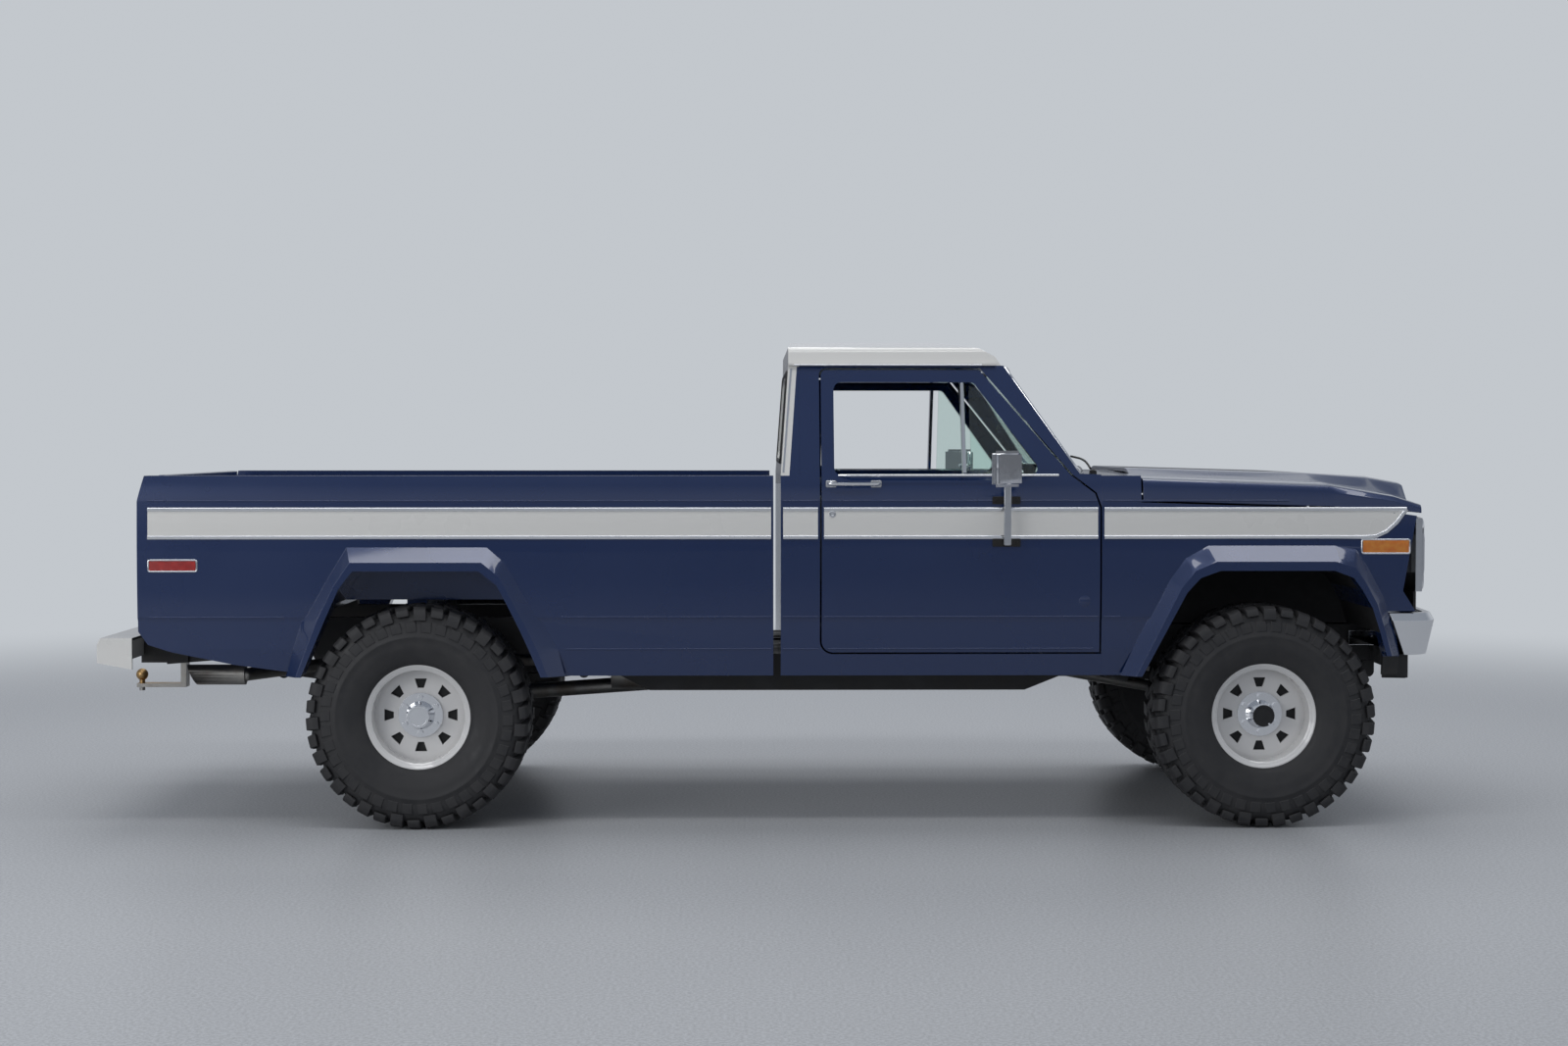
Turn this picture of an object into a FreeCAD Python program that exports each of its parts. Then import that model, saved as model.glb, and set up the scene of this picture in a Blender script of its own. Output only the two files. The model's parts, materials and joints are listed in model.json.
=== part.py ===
import FreeCAD, Part
import math
import os

# A lifted four-wheel-drive pickup with a single cab and a long load bed, in millimetres.
# X points forward, Y to the vehicle's left, Z up. The origin is on the ground, under the
# middle of the overall length. Each named piece is written to its own STEP file.

Vec = FreeCAD.Vector

# Driving dimensions: lengths along the body, from the tail forward
bed_tail_overhang = 1086.0
bed_length = 2477.0
cab_gap = 29.0
corner_panel_length = 160.0
door_length = 1090.0
cowl_length = 169.0
front_axle_reach = 481.0

# Driving dimensions: plan of the whole vehicle
cab_length = corner_panel_length + door_length + cowl_length
wheelbase = bed_length - bed_tail_overhang + cab_gap + cab_length + front_axle_reach
front_overhang = 730.0
rear_overhang = 1330.0
overall_length = front_overhang + wheelbase + rear_overhang
front_axle_x = overall_length / 2 - front_overhang
rear_axle_x = front_axle_x - wheelbase
track = 1650.0
wheel_y = track / 2
tyre_radius = 437.0
tyre_width = 318.0
nose_overhang = 584.0
nose_bow = 65.0

# Driving dimensions: heights above the ground
sill_height = 598.0
door_bottom_height = 690.0
lower_crease_height = 704.0
step_height = 830.0
shoulder_height = 1284.0
belt_height = 1382.0
door_top_height = 1800.0
eave_height = 1817.0
roof_height = 1928.0
cab_floor_height = 676.0
bed_floor_height = 905.0
rail_bottom_height = 492.0

# Driving dimensions: half widths
body_half_width = 958.0
flare_half_width = 1002.0
belt_half_width = 930.0
eave_half_width = 778.0

# Gaps, walls and overruns shared by several pieces
panel_gap = 7.0
seat_gap = 0.3
running_fit = 0.05
overrun = 60.0
skin = 20.0
cab_wall = 90.0
pillar_wall = 44.0
shortest_edge = 0.001

# Stations worked out from the driving dimensions
bed_rear_x = rear_axle_x - bed_tail_overhang
bed_front_x = bed_rear_x + bed_length
cab_back_x = bed_front_x + cab_gap
door_rear_x = cab_back_x + corner_panel_length
door_front_x = door_rear_x + door_length
hood_rear_x = door_front_x + cowl_length
nose_x = front_axle_x + nose_overhang
front_end_x = overall_length / 2
rear_end_x = -overall_length / 2


# Drawing helpers. A plane's name says which two axes an outline uses:
# side is X and Z, section is Y and Z, plan is X and Y.
def placed(plane, a, b, c):
    return {"side": Vec(a, c, b), "section": Vec(c, a, b), "plan": Vec(a, b, c)}[plane]


def outline_face(plane, points, at, radii=None, crowns=None, grow=0):
    """A flat face; radii round corners, crowns bow the side that starts at a corner."""
    radii = radii or {}
    crowns = crowns or {}
    count = len(points)
    corners = []
    for i, point in enumerate(points):
        here = Vec(point[0], point[1], 0)
        before = Vec(points[i - 1][0], points[i - 1][1], 0) - here
        after = Vec(points[(i + 1) % count][0], points[(i + 1) % count][1], 0) - here
        if not radii.get(i):
            corners.append((here, None, here))
            continue
        half = before.getAngle(after) / 2
        before.normalize()
        after.normalize()
        bisector = before + after
        bisector.normalize()
        reach = radii[i] / math.tan(half)
        middle = here + bisector * (radii[i] / math.sin(half) - radii[i])
        corners.append((here + before * reach, middle, here + after * reach))
    edges = []
    for i, (start, middle, end) in enumerate(corners):
        if middle is not None:
            arc = [placed(plane, p.x, p.y, at) for p in (start, middle, end)]
            edges.append(Part.Arc(*arc).toShape())
        goal = corners[(i + 1) % count][0]
        a = placed(plane, end.x, end.y, at)
        b = placed(plane, goal.x, goal.y, at)
        if crowns.get(i):
            run = goal - end
            bow = Vec(run.y, -run.x, 0)
            bow.normalize()
            top = (end + goal) * 0.5 + bow * crowns[i]
            edges.append(Part.Arc(a, placed(plane, top.x, top.y, at), b).toShape())
        elif (b - a).Length > shortest_edge:
            edges.append(Part.makeLine(a, b))
    face = Part.Face(Part.Wire(edges))
    return face.makeOffset2D(grow, 2) if grow else face


def extruded(plane, points, low, high, radii=None, crowns=None, grow=0):
    face = outline_face(plane, points, low, radii, crowns, grow)
    return face.extrude(placed(plane, 0, 0, high - low))


def ruled(plane, stations):
    """A solid through outlines with equal point counts, each given with its place."""
    wires = []
    for points, at in stations:
        path = [placed(plane, a, b, at) for a, b in points]
        wires.append(Part.makePolygon(path + path[:1]))
    return Part.makeLoft(wires, True, True)


def block(x, y, z):
    return Part.makeBox(x[1] - x[0], y[1] - y[0], z[1] - z[0], Vec(x[0], y[0], z[0]))


def rod(start, end, radius):
    return Part.makeCylinder(radius, (end - start).Length, start, end - start)


def pipe_run(points, radius):
    """Straight round runs with a ball at each bend."""
    runs = [rod(a, b, radius) for a, b in zip(points, points[1:])]
    return joined(runs + [Part.makeSphere(radius, p) for p in points[1:-1]])


def joined(shapes):
    return shapes[0].fuse(shapes[1:]).removeSplitter()


def mirrored(shape):
    return shape.mirror(Vec(0, 0, 0), Vec(0, 1, 0))


def both_sides(shape):
    return Part.makeCompound([shape, mirrored(shape)])


def centred(half):
    return (-half, half)


def around(middle, half):
    return (middle - half, middle + half)


def ring_stack(rings, sides, hollow=False):
    """A solid of flat-sided rings about Y, each given as its radius and its place.

    A hollow one closes its last ring back to the first instead of capping both ends.
    """
    turn = 2 * math.pi / sides
    loops = []
    for radius, y in rings:
        angles = [(k + 0.5) * turn for k in range(sides)]
        loops.append([Vec(radius * math.sin(a), y, radius * math.cos(a)) for a in angles])
    faces = []
    following = loops[1:] + loops[:1] if hollow else loops[1:]
    for near, far in zip(loops, following):
        for k in range(sides):
            quad = [near[k - 1], near[k], far[k], far[k - 1], near[k - 1]]
            faces.append(Part.Face(Part.makePolygon(quad)))
    if not hollow:
        faces += [Part.Face(Part.makePolygon(end + end[:1])) for end in (loops[0], loops[-1])]
    solid = Part.Solid(Part.makeShell(faces))
    return solid if solid.Volume > 0 else solid.reversed()


def around_y(shape, count, offset=0):
    """Copies of a shape at even steps about Y; offset is a share of the step."""
    pitch = 360.0 / count
    steps = [(k + offset) * pitch for k in range(count)]
    return [shape.rotated(Vec(0, 0, 0), Vec(0, 1, 0), angle) for angle in steps]


def save(name, *shapes):
    solids = [solid for shape in shapes for solid in shape.Solids]
    Part.makeCompound(solids).exportStep("parts/" + name + ".step")


# Body side: one outline shared by the bed, cab corners, doors and fenders
sill_inset = 33.0
lower_crease_inset = 13.0
step_inset = 2.0
step_depth = 7.0
step_rise = 16.0
shoulder_inset = 4.0
side_crown = 5.0
rail_crown = 4.0
step_y = body_half_width - step_inset
lower_y = step_y - step_depth
shoulder_y = body_half_width - shoulder_inset
sill_y = body_half_width - sill_inset
wall_y = body_half_width - cab_wall
side_crowns = {3: side_crown, 4: rail_crown}


def side_outline():
    """Outer skin on the left, from sill to belt, as half width and height."""
    return [
        (sill_y, sill_height),
        (body_half_width - lower_crease_inset, lower_crease_height),
        (lower_y, step_height - step_rise),
        (step_y, step_height),
        (shoulder_y, shoulder_height),
        (belt_half_width, belt_height),
    ]


# Wheel arches: shares of the tyre radius, from the wheel's centre
front_flare_shares = [
    (-1.30, 0.37), (-0.89, 1.25), (-0.75, 1.46), (-0.54, 1.585), (0.62, 1.585),
    (0.82, 1.555), (0.93, 1.39), (1.08, 1.10), (1.17, 0.78), (1.215, 0.55),
]
front_arch_shares = [
    (-1.12, 0.37), (-0.72, 1.12), (-0.60, 1.25), (-0.42, 1.315), (0.60, 1.315),
    (0.77, 1.25), (0.85, 1.14), (0.94, 0.98), (1.01, 0.76), (1.07, 0.55),
]
rear_flare_shares = [
    (-1.175, 0.37), (-1.04, 0.86), (-0.83, 1.24), (-0.635, 1.57), (0.64, 1.57),
    (0.80, 1.43), (0.96, 1.13), (1.13, 0.84), (1.26, 0.60), (1.32, 0.37),
]
rear_arch_shares = [
    (-1.02, 0.37), (-0.81, 0.87), (-0.68, 1.16), (-0.56, 1.315), (0.56, 1.315),
    (0.72, 1.19), (0.83, 0.98), (0.92, 0.80), (1.02, 0.58), (1.11, 0.37),
]
flare_lip_share = 0.30
flare_bury = 4.0
apron_wall = 14.0


def arch_points(shares, axle_x):
    return [(axle_x + a * tyre_radius, tyre_radius + b * tyre_radius) for a, b in shares]


def arch_outline(shares, axle_x):
    """The arch opening, carried straight down past the sill."""
    points = arch_points(shares, axle_x)
    foot = tyre_radius
    return [(points[0][0], foot)] + points + [(points[-1][0], foot)]


def flare(outer_shares, inner_shares, axle_x):
    """A lip on the left that rises from the body side to the arch's edge."""
    outer = arch_points(outer_shares, axle_x)
    inner = arch_points(inner_shares, axle_x)
    edge = [
        (i[0] + (o[0] - i[0]) * flare_lip_share, i[1] + (o[1] - i[1]) * flare_lip_share)
        for o, i in zip(outer, inner)
    ]
    root = (outer + inner[::-1], lower_y - flare_bury)
    return ruled("side", [root, (edge + inner[::-1], flare_half_width)])


# Tyre: shoulder lugs in two rows, the inner row half a pitch round
tyre_sides = 20
lug_width = 78.0
lug_depth = 18.0
lug_reach = 76.0
tread_inset = 25.0
shoulder_drop = 52.0
shoulder_inset_y = 7.0
sidewall_inset = 5.0
sidewall_radius = 300.0
bead_rise = 6.0
rim_flange_radius = 208.0
rim_half_width = 115.0
rim_wall = 7.0
rim_barrel_radius = 190.0
bead_y = rim_half_width - rim_wall - seat_gap
half_pitch = math.pi / tyre_sides
lug_top = (tyre_radius - lug_width / 2 * math.sin(half_pitch)) / math.cos(half_pitch)


def tyre():
    """A left tyre about its own centre, outer side at +Y."""
    side = tyre_width / 2
    base = lug_top - lug_depth
    bead = (rim_barrel_radius + seat_gap) / math.cos(half_pitch)
    shoulder = base - shoulder_drop
    rings = [
        (bead, bead_y),
        (rim_flange_radius + bead_rise, bead_y),
        (sidewall_radius, side - sidewall_inset),
        (shoulder, side - shoulder_inset_y),
        (base, side - tread_inset - lug_depth),
    ]
    carcass = ring_stack(rings + [(r, -y) for r, y in rings[::-1]], tyre_sides, hollow=True)
    profile = [
        (side - lug_reach - tread_inset, base - lug_depth),
        (side - lug_depth, shoulder),
        (side, lug_top - lug_depth),
        (side - tread_inset, lug_top),
        (side - lug_reach - tread_inset, lug_top),
    ]
    lug = extruded("section", profile, -lug_width / 2, lug_width / 2)
    lugs = around_y(lug, tyre_sides) + around_y(mirrored(lug), tyre_sides, 0.5)
    return carcass.fuse(lugs).removeSplitter()


# Rim: a steel wheel with a flat disc and eight windows
rim_sides = 32
disc_face_y = 26.0
disc_wall = 9.0
disc_bend_radius = 160.0
disc_bend_drop = 6.0
window_count = 8
window_inner_radius = 107.0
window_outer_radius = 144.0
window_inner_width = 24.0
window_outer_width = 48.0
pilot_radius = 54.0
lip_flat = 6.0
disc_back_y = disc_face_y - disc_bend_drop - disc_wall


def rim():
    """The rim of a left wheel about its centre: barrel, bead flanges and pressed disc."""
    step = rim_half_width - rim_wall
    bore = rim_barrel_radius - rim_wall
    lip = rim_flange_radius - lip_flat
    half = [
        (bore, step - rim_wall),
        (lip, rim_half_width),
        (rim_flange_radius, rim_half_width),
        (rim_flange_radius, step),
        (rim_barrel_radius, step),
    ]
    barrel = ring_stack(half + [(r, -y) for r, y in half[::-1]], rim_sides, hollow=True)
    edge = bore + rim_wall / 2
    plate = [
        (edge, disc_back_y),
        (edge, disc_face_y - disc_bend_drop),
        (disc_bend_radius, disc_face_y),
    ]
    window_points = [
        (-window_inner_width / 2, window_inner_radius),
        (window_inner_width / 2, window_inner_radius),
        (window_outer_width / 2, window_outer_radius),
        (-window_outer_width / 2, window_outer_radius),
    ]
    window = extruded("side", window_points, -rim_half_width, rim_half_width)
    bore_cut = rod(Vec(0, -rim_half_width, 0), Vec(0, rim_half_width, 0), pilot_radius)
    disc = ring_stack(plate, rim_sides).cut(around_y(window, window_count) + [bore_cut])
    return joined([barrel, disc])


# Hub: brake drum behind the disc, chromed ring, lug nuts and locking hub in front
spindle_radius = 30.0
spindle_reach = 26.0
drum_radius = 142.0
drum_length = 62.0
ring_radius = 88.0
ring_wall = 8.0
nut_radius = 11.0
nut_length = 16.0
nut_circle_radius = 69.85
nut_count = 6
cone_radius = 56.0
cone_length = 34.0
cap_radius = 43.0
cap_inset = 4.0
cap_recess = 3.0
cap_ring = 8.0
hub_inner_y = disc_back_y - drum_length


def hub():
    """The hub of a left wheel about the wheel's centre."""
    cap_y = rim_half_width - cap_inset
    ring_y = disc_face_y + ring_wall
    bore_end = disc_back_y + spindle_reach
    drum = rod(Vec(0, hub_inner_y, 0), Vec(0, disc_back_y, 0), drum_radius)
    pilot = rod(Vec(0, disc_back_y, 0), Vec(0, ring_y, 0), pilot_radius - running_fit)
    ring = rod(Vec(0, disc_face_y, 0), Vec(0, ring_y, 0), ring_radius)
    cone = Part.makeCone(cone_radius, cap_radius, cone_length, Vec(0, ring_y, 0), Vec(0, 1, 0))
    cap = rod(Vec(0, ring_y, 0), Vec(0, cap_y, 0), cap_radius)
    flats = [math.radians(60 * k) for k in range(6)]
    hexagon = [
        (nut_radius * math.cos(a), nut_circle_radius + nut_radius * math.sin(a)) for a in flats
    ]
    nut = extruded("side", hexagon, disc_face_y, ring_y + nut_length)
    body = joined([drum, pilot, ring, cone, cap] + around_y(nut, nut_count))
    recess = rod(Vec(0, cap_y - cap_recess, 0), Vec(0, cap_y, 0), cap_radius - cap_ring)
    bore = rod(Vec(0, hub_inner_y, 0), Vec(0, bore_end, 0), spindle_radius + running_fit)
    return body.cut([recess, bore])


def save_wheels():
    for maker, name in ((tyre, "tyre"), (rim, "rim"), (hub, "hub")):
        left = maker()
        for place, x in (("front", front_axle_x), ("rear", rear_axle_x)):
            moved = left.translated(Vec(x, wheel_y, tyre_radius))
            save(name + "_" + place + "_left", moved)
            save(name + "_" + place + "_right", mirrored(moved))


# Frame: two channel rails kicked up over both axles, with crossmembers
rail_height = 150.0
rail_inner_y = 380.0
rail_width = 60.0
rail_wall = 8.0
kick_rise = 150.0
kick_run = 300.0
front_kick_rise = 120.0
tail_drop = 40.0
frame_tail_inset = 235.0
frame_nose_inset = 190.0
crossmember_length = 90.0
crossmember_height = 50.0
gearbox_mount_x = 998.0
body_mount_length = 120.0
rail_outer_y = rail_inner_y + rail_width
rail_y = rail_inner_y + rail_width / 2
frame_tail_x = rear_end_x + frame_tail_inset
frame_nose_x = front_end_x - frame_nose_inset
kick_reach = tyre_radius + kick_run / 2
kick_bottom = rail_bottom_height + kick_rise
tail_bottom = kick_bottom - tail_drop
front_kick_bottom = rail_bottom_height + front_kick_rise
crossmember_shares = [0.01, 0.16, 0.33, 0.50]


def rail_line():
    """The rails' lower edge, seen from the side."""
    return [
        (frame_tail_x, tail_bottom),
        (rear_axle_x - kick_reach, kick_bottom),
        (rear_axle_x + kick_reach, kick_bottom),
        (rear_axle_x + kick_reach + kick_run, rail_bottom_height),
        (front_axle_x - kick_reach - kick_run, rail_bottom_height),
        (front_axle_x - kick_reach, front_kick_bottom),
        (frame_nose_x, front_kick_bottom),
    ]


def rail_bottom_at(x):
    low = rail_line()
    for (x0, z0), (x1, z1) in zip(low, low[1:]):
        if x0 <= x <= x1:
            return z0 + (z1 - z0) * (x - x0) / (x1 - x0)
    return low[-1][1]


def rail_top_under(x, length):
    return min(rail_bottom_at(x), rail_bottom_at(x + length)) + rail_height - rail_wall


def ladder_frame():
    low = rail_line()
    outline = low + [(x, z + rail_height) for x, z in low[::-1]]
    rail = extruded("side", outline, rail_inner_y, rail_outer_y)
    channel = extruded(
        "side", outline, rail_inner_y, rail_outer_y - rail_wall, grow=-rail_wall
    )
    rail = rail.cut(channel)
    pieces = [rail, mirrored(rail)]
    span = centred(rail_inner_y + rail_wall)
    for share in crossmember_shares:
        x = frame_tail_x + (frame_nose_x - frame_tail_x) * share
        top = rail_top_under(x, crossmember_length)
        pieces.append(
            block((x, x + crossmember_length), span, (top - crossmember_height, top))
        )
    gearbox_mount = (gearbox_mount_x, gearbox_mount_x + crossmember_length)
    gearbox_seat = gearbox_z - gearbox_radius - seat_gap
    pieces.append(block(gearbox_mount, span, (rail_bottom_height, gearbox_seat)))
    engine_mount = (engine_rear_x + crossmember_length, engine_rear_x + crossmember_length * 2)
    engine_seat = engine_low_height - seat_gap
    pieces.append(block(engine_mount, span, (front_kick_bottom, engine_seat)))
    nose = (frame_nose_x - crossmember_length, frame_nose_x)
    pieces.append(block(nose, span, (front_kick_bottom, front_kick_bottom + rail_height / 2)))
    return joined(pieces + body_mounts() + [steering_box()])


def body_mounts():
    """Pedestals on the rails that carry the bed's sills and the cab's floor."""
    mounts = []
    for x in bed_sill_places():
        low = rail_top_under(x, bed_sill_length)
        top = bed_floor_under - bed_sill_depth
        mounts.append(block((x, x + bed_sill_length), (rail_inner_y, rail_outer_y), (low, top)))
    for x in (door_rear_x, door_front_x - body_mount_length * 3):
        low = rail_top_under(x, body_mount_length)
        end = x + body_mount_length
        mounts.append(block((x, end), (rail_inner_y, rail_outer_y), (low, cab_under_height)))
    return mounts + [mirrored(m) for m in mounts]


# Steering box on the left rail, with the shaft that the pitman arm hangs from
box_half_length = 60.0
box_reach = 66.0
box_low_height = 600.0
box_height = 120.0
pitman_inset = 30.0
pitman_offset = 72.0
pitman_x = front_axle_x + pitman_offset
pitman_y = rail_outer_y + pitman_inset
pitman_shaft_radius = 16.0
pitman_wall = 16.0
pitman_half_width = 20.0
pitman_top_z = 466.0


def steering_box():
    housing = block(
        around(pitman_x, box_half_length),
        (rail_outer_y - rail_wall, rail_outer_y + box_reach),
        (box_low_height, box_low_height + box_height),
    )
    foot = Vec(pitman_x, pitman_y, pitman_top_z - pitman_wall)
    return joined([housing, rod(foot, Vec(pitman_x, pitman_y, box_low_height), pitman_shaft_radius)])


def pitman_arm():
    """The arm that hangs from the steering box and points forward."""
    tip_x = pitman_x + steering_arm_length
    points = [
        (pitman_x, pitman_y - pitman_half_width * 1.4),
        (tip_x, pitman_y - pitman_half_width),
        (tip_x + pitman_half_width, pitman_y),
        (tip_x, pitman_y + pitman_half_width),
        (pitman_x, pitman_y + pitman_half_width * 1.4),
        (pitman_x - pitman_half_width * 1.4, pitman_y),
    ]
    low = pitman_top_z - pitman_wall
    arm = extruded("plan", points, low, pitman_top_z)
    bore = rod(
        Vec(pitman_x, pitman_y, low),
        Vec(pitman_x, pitman_y, pitman_top_z),
        pitman_shaft_radius + running_fit,
    )
    hole = rod(
        Vec(tip_x, pitman_y, low), Vec(tip_x, pitman_y, pitman_top_z), stud_radius + running_fit
    )
    return arm.cut([bore, hole])


# Load bed: double side walls with wheel housings, floor on sills, rear posts
bed_sill_count = 6
bed_sill_length = 80.0
bed_sill_depth = 65.0
bed_wall_y = 795.0
bed_rail_inner_y = 845.0
bed_rail_depth = 38.0
bed_floor_wall = 25.0
bed_front_wall = 45.0
bed_front_drop = 40.0
bed_post_inner_y = 700.0
bed_post_length = 62.0
housing_inner_y = 634.0
housing_wall = 12.0
bed_tail_shares = [
    (0.0, 1.0), (0.015, 0.71), (0.052, 0.54), (0.148, 0.26), (0.23, 0.10), (0.31, 0.0),
]
bed_sweep_rise = 176.0
tail_lean = 23.0
rib_count = 13
rib_width = 56.0
rib_height = 12.0
bed_floor_under = bed_floor_height - bed_floor_wall


def bed_sill_places():
    first = bed_rear_x + bed_post_length * 2
    last = bed_front_x - bed_sill_length * 2
    return [first + (last - first) * k / (bed_sill_count - 1) for k in range(bed_sill_count)]


def bed_profile():
    """The bed seen from the side: lower edge swept up at the tail, tail edge leaning in."""
    sweep = [
        (bed_rear_x + bed_length * a, sill_height + bed_sweep_rise * b)
        for a, b in bed_tail_shares
    ]
    tail = [(bed_rear_x + tail_lean, belt_height), (bed_rear_x, shoulder_height)]
    return [(bed_front_x, sill_height), (bed_front_x, belt_height)] + tail + sweep


def cargo_bed():
    section = side_outline() + [
        (bed_rail_inner_y, belt_height),
        (bed_rail_inner_y, belt_height - bed_rail_depth),
        (bed_wall_y, belt_height - bed_rail_depth * 2),
        (bed_wall_y, bed_floor_under),
        (sill_y - skin * 2, bed_floor_under),
        (sill_y - skin, sill_height),
    ]
    wall = extruded("section", section, bed_rear_x, bed_front_x, crowns=side_crowns)
    wall = wall.common(extruded("side", bed_profile(), 0, flare_half_width))
    post = block(
        (bed_rear_x + tail_lean, bed_rear_x + bed_post_length),
        (bed_post_inner_y, bed_wall_y + skin),
        (gate_pivot_z - gate_wall / 2, belt_height - bed_rail_depth),
    )
    post = post.fuse(gate_trunnion(gate_pin_radius, bed_post_inner_y + skin))
    arch = arch_outline(rear_arch_shares, rear_axle_x)
    housing = extruded("side", arch, housing_inner_y, lower_y - skin, grow=housing_wall)
    housing = housing.common(
        block((bed_rear_x, bed_front_x), (0, body_half_width), (bed_floor_under, belt_height))
    )
    opening = extruded("side", arch, housing_inner_y + housing_wall, flare_half_width + overrun)
    lip = flare(rear_flare_shares, rear_arch_shares, rear_axle_x)
    side = joined([wall, post, housing, lip]).cut(opening)
    across = centred(bed_wall_y + skin)
    floor_rear = gate_pivot_x + gate_wall / 2 + panel_gap
    floor = block((floor_rear, bed_front_x), across, (bed_floor_under, bed_floor_height))
    floor = floor.cut([opening, mirrored(opening)])
    head_top = belt_height - bed_front_drop
    head = block((bed_front_x - bed_front_wall, bed_front_x), across, (bed_floor_under, head_top))
    sill_top = bed_floor_under + bed_floor_wall / 2
    sill_low = bed_floor_under - bed_sill_depth
    half = centred(housing_inner_y - skin)
    sills = [block((x, x + bed_sill_length), half, (sill_low, sill_top)) for x in bed_sill_places()]
    pitch = 2 * housing_inner_y / rib_count
    run = (floor_rear + rib_width, bed_front_x - bed_front_wall - rib_width)
    ribs = []
    for k in range(rib_count):
        middle = (k + 0.5) * pitch - housing_inner_y
        top = bed_floor_height + rib_height
        ribs.append(block(run, around(middle, rib_width / 2), (bed_floor_under, top)))
    return joined([side, mirrored(side), floor, head] + sills + ribs)


# Tailgate: hinged on its lower edge between the rear posts
gate_wall = 50.0
gate_pivot_drop = 25.0
gate_panel_depth = 10.0
gate_panel_margin = 90.0
gate_round_share = 0.45
gate_pin_radius = 10.0
gate_pin_length = 24.0
gate_pivot_x = bed_rear_x + gate_wall / 2
gate_pivot_z = bed_floor_height - gate_pivot_drop
gate_half_width = bed_post_inner_y - panel_gap


def gate_trunnion(radius, outer):
    """The left pivot pin, or its bore when a running fit is added to the radius."""
    return rod(
        Vec(gate_pivot_x, gate_half_width - gate_pin_length, gate_pivot_z),
        Vec(gate_pivot_x, outer, gate_pivot_z),
        radius,
    )


def tailgate():
    low = gate_pivot_z - gate_wall / 2
    profile = [
        (bed_rear_x, low),
        (bed_rear_x + gate_wall, low),
        (bed_rear_x + gate_wall, belt_height),
        (bed_rear_x + tail_lean, belt_height),
        (bed_rear_x, shoulder_height),
    ]
    rounding = {0: gate_wall * gate_round_share, 1: gate_wall * gate_round_share}
    gate = extruded("side", profile, -gate_half_width, gate_half_width, radii=rounding)
    panel = block(
        (bed_rear_x, bed_rear_x + gate_panel_depth),
        centred(gate_half_width - gate_panel_margin),
        (low + gate_panel_margin, shoulder_height - gate_panel_margin / 2),
    )
    bore = gate_trunnion(gate_pin_radius + running_fit, gate_half_width + overrun)
    bore = bore.fuse(bore.translated(Vec(0, -running_fit, 0)))
    return gate.cut([panel, bore, mirrored(bore)])


# Cab shell: floor, firewall, sills, pillars, cowl and back wall
cab_floor_wall = 30.0
cab_back_wall = 42.0
upper_lean = 32.0
firewall_reach = 90.0
firewall_wall = 24.0
tunnel_half_width = 160.0
tunnel_rise = 90.0
tunnel_wall = 14.0
door_corner = 45.0
windshield_setback = 78.0
windshield_run = 317.0
windshield_base_height = 1390.0
windshield_wrap = 100.0
windshield_frame = 46.0
glass_wall = 6.0
glass_setback = 16.0
cowl_wall = 34.0
cowl_rise = 14.0
white_strip_length = 75.0
door_front_offset = 66.0
door_shoulder_run = 20.0
door_shoulder_rise = 28.0
firewall_x = door_front_x + firewall_reach
windshield_base_x = door_front_x - windshield_setback
windshield_top_x = windshield_base_x - windshield_run
cab_under_height = cab_floor_height - cab_floor_wall
white_strip_x = cab_back_x + white_strip_length
toe_x = front_axle_x - kick_reach - kick_run - panel_gap
toe_rise = (firewall_x - toe_x) * front_kick_rise / kick_run
greenhouse_rise = eave_height - belt_height
windshield_lean = windshield_top_x - windshield_base_x
windshield_rise = eave_height - windshield_base_height
pillar_outer_y = sill_y - skin - panel_gap
door_radii = {0: door_corner, 1: door_corner / 2}


def wall_section():
    """The whole side wall on the left, from sill to eave, solid through its thickness."""
    return side_outline() + [
        (eave_half_width, eave_height),
        (eave_half_width - pillar_wall, eave_height),
        (belt_half_width - pillar_wall, belt_height),
        (wall_y, belt_height - pillar_wall),
        (wall_y, sill_height),
    ]


def door_outline():
    """The door's edge seen from the side, with the front upper run beside the windshield."""
    return [
        (door_rear_x, door_bottom_height),
        (door_rear_x, door_top_height),
        (windshield_top_x - door_front_offset, door_top_height),
        (windshield_base_x - door_front_offset / 2, belt_height),
        (door_front_x - door_shoulder_run, shoulder_height + door_shoulder_rise),
        (door_front_x, shoulder_height - door_shoulder_rise),
        (door_front_x, door_bottom_height),
    ]


def cab_profile():
    """The cab seen from the side, up to the eave and forward to the windshield."""
    return [
        (cab_back_x, sill_height),
        (firewall_x, sill_height),
        (firewall_x, belt_height),
        (windshield_base_x, windshield_base_height),
        (windshield_top_x, eave_height),
        (cab_back_x + upper_lean, eave_height),
        (cab_back_x, belt_height),
    ]


def greenhouse_prism(inset):
    """All that lies inside the leaning sides above the belt."""
    low = belt_half_width - inset
    high = eave_half_width - inset
    points = [(-low, belt_height), (low, belt_height), (high, eave_height), (-high, eave_height)]
    return extruded("section", points, 0, hood_rear_x)


def windshield_sheet(setback, wall):
    """A curved leaning sheet: a plan arc drawn out along the windshield's slope."""
    start = overrun / windshield_rise
    x = windshield_base_x - setback - windshield_lean * start
    half = belt_half_width
    outline = [(x - wall, -half), (x, -half), (x, half), (x - wall, half)]
    bows = {1: windshield_wrap, 3: -windshield_wrap}
    face = outline_face("plan", outline, windshield_base_height - overrun, crowns=bows)
    run = 1 + 2 * start
    return face.extrude(Vec(windshield_lean * run, 0, windshield_rise * run))


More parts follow.
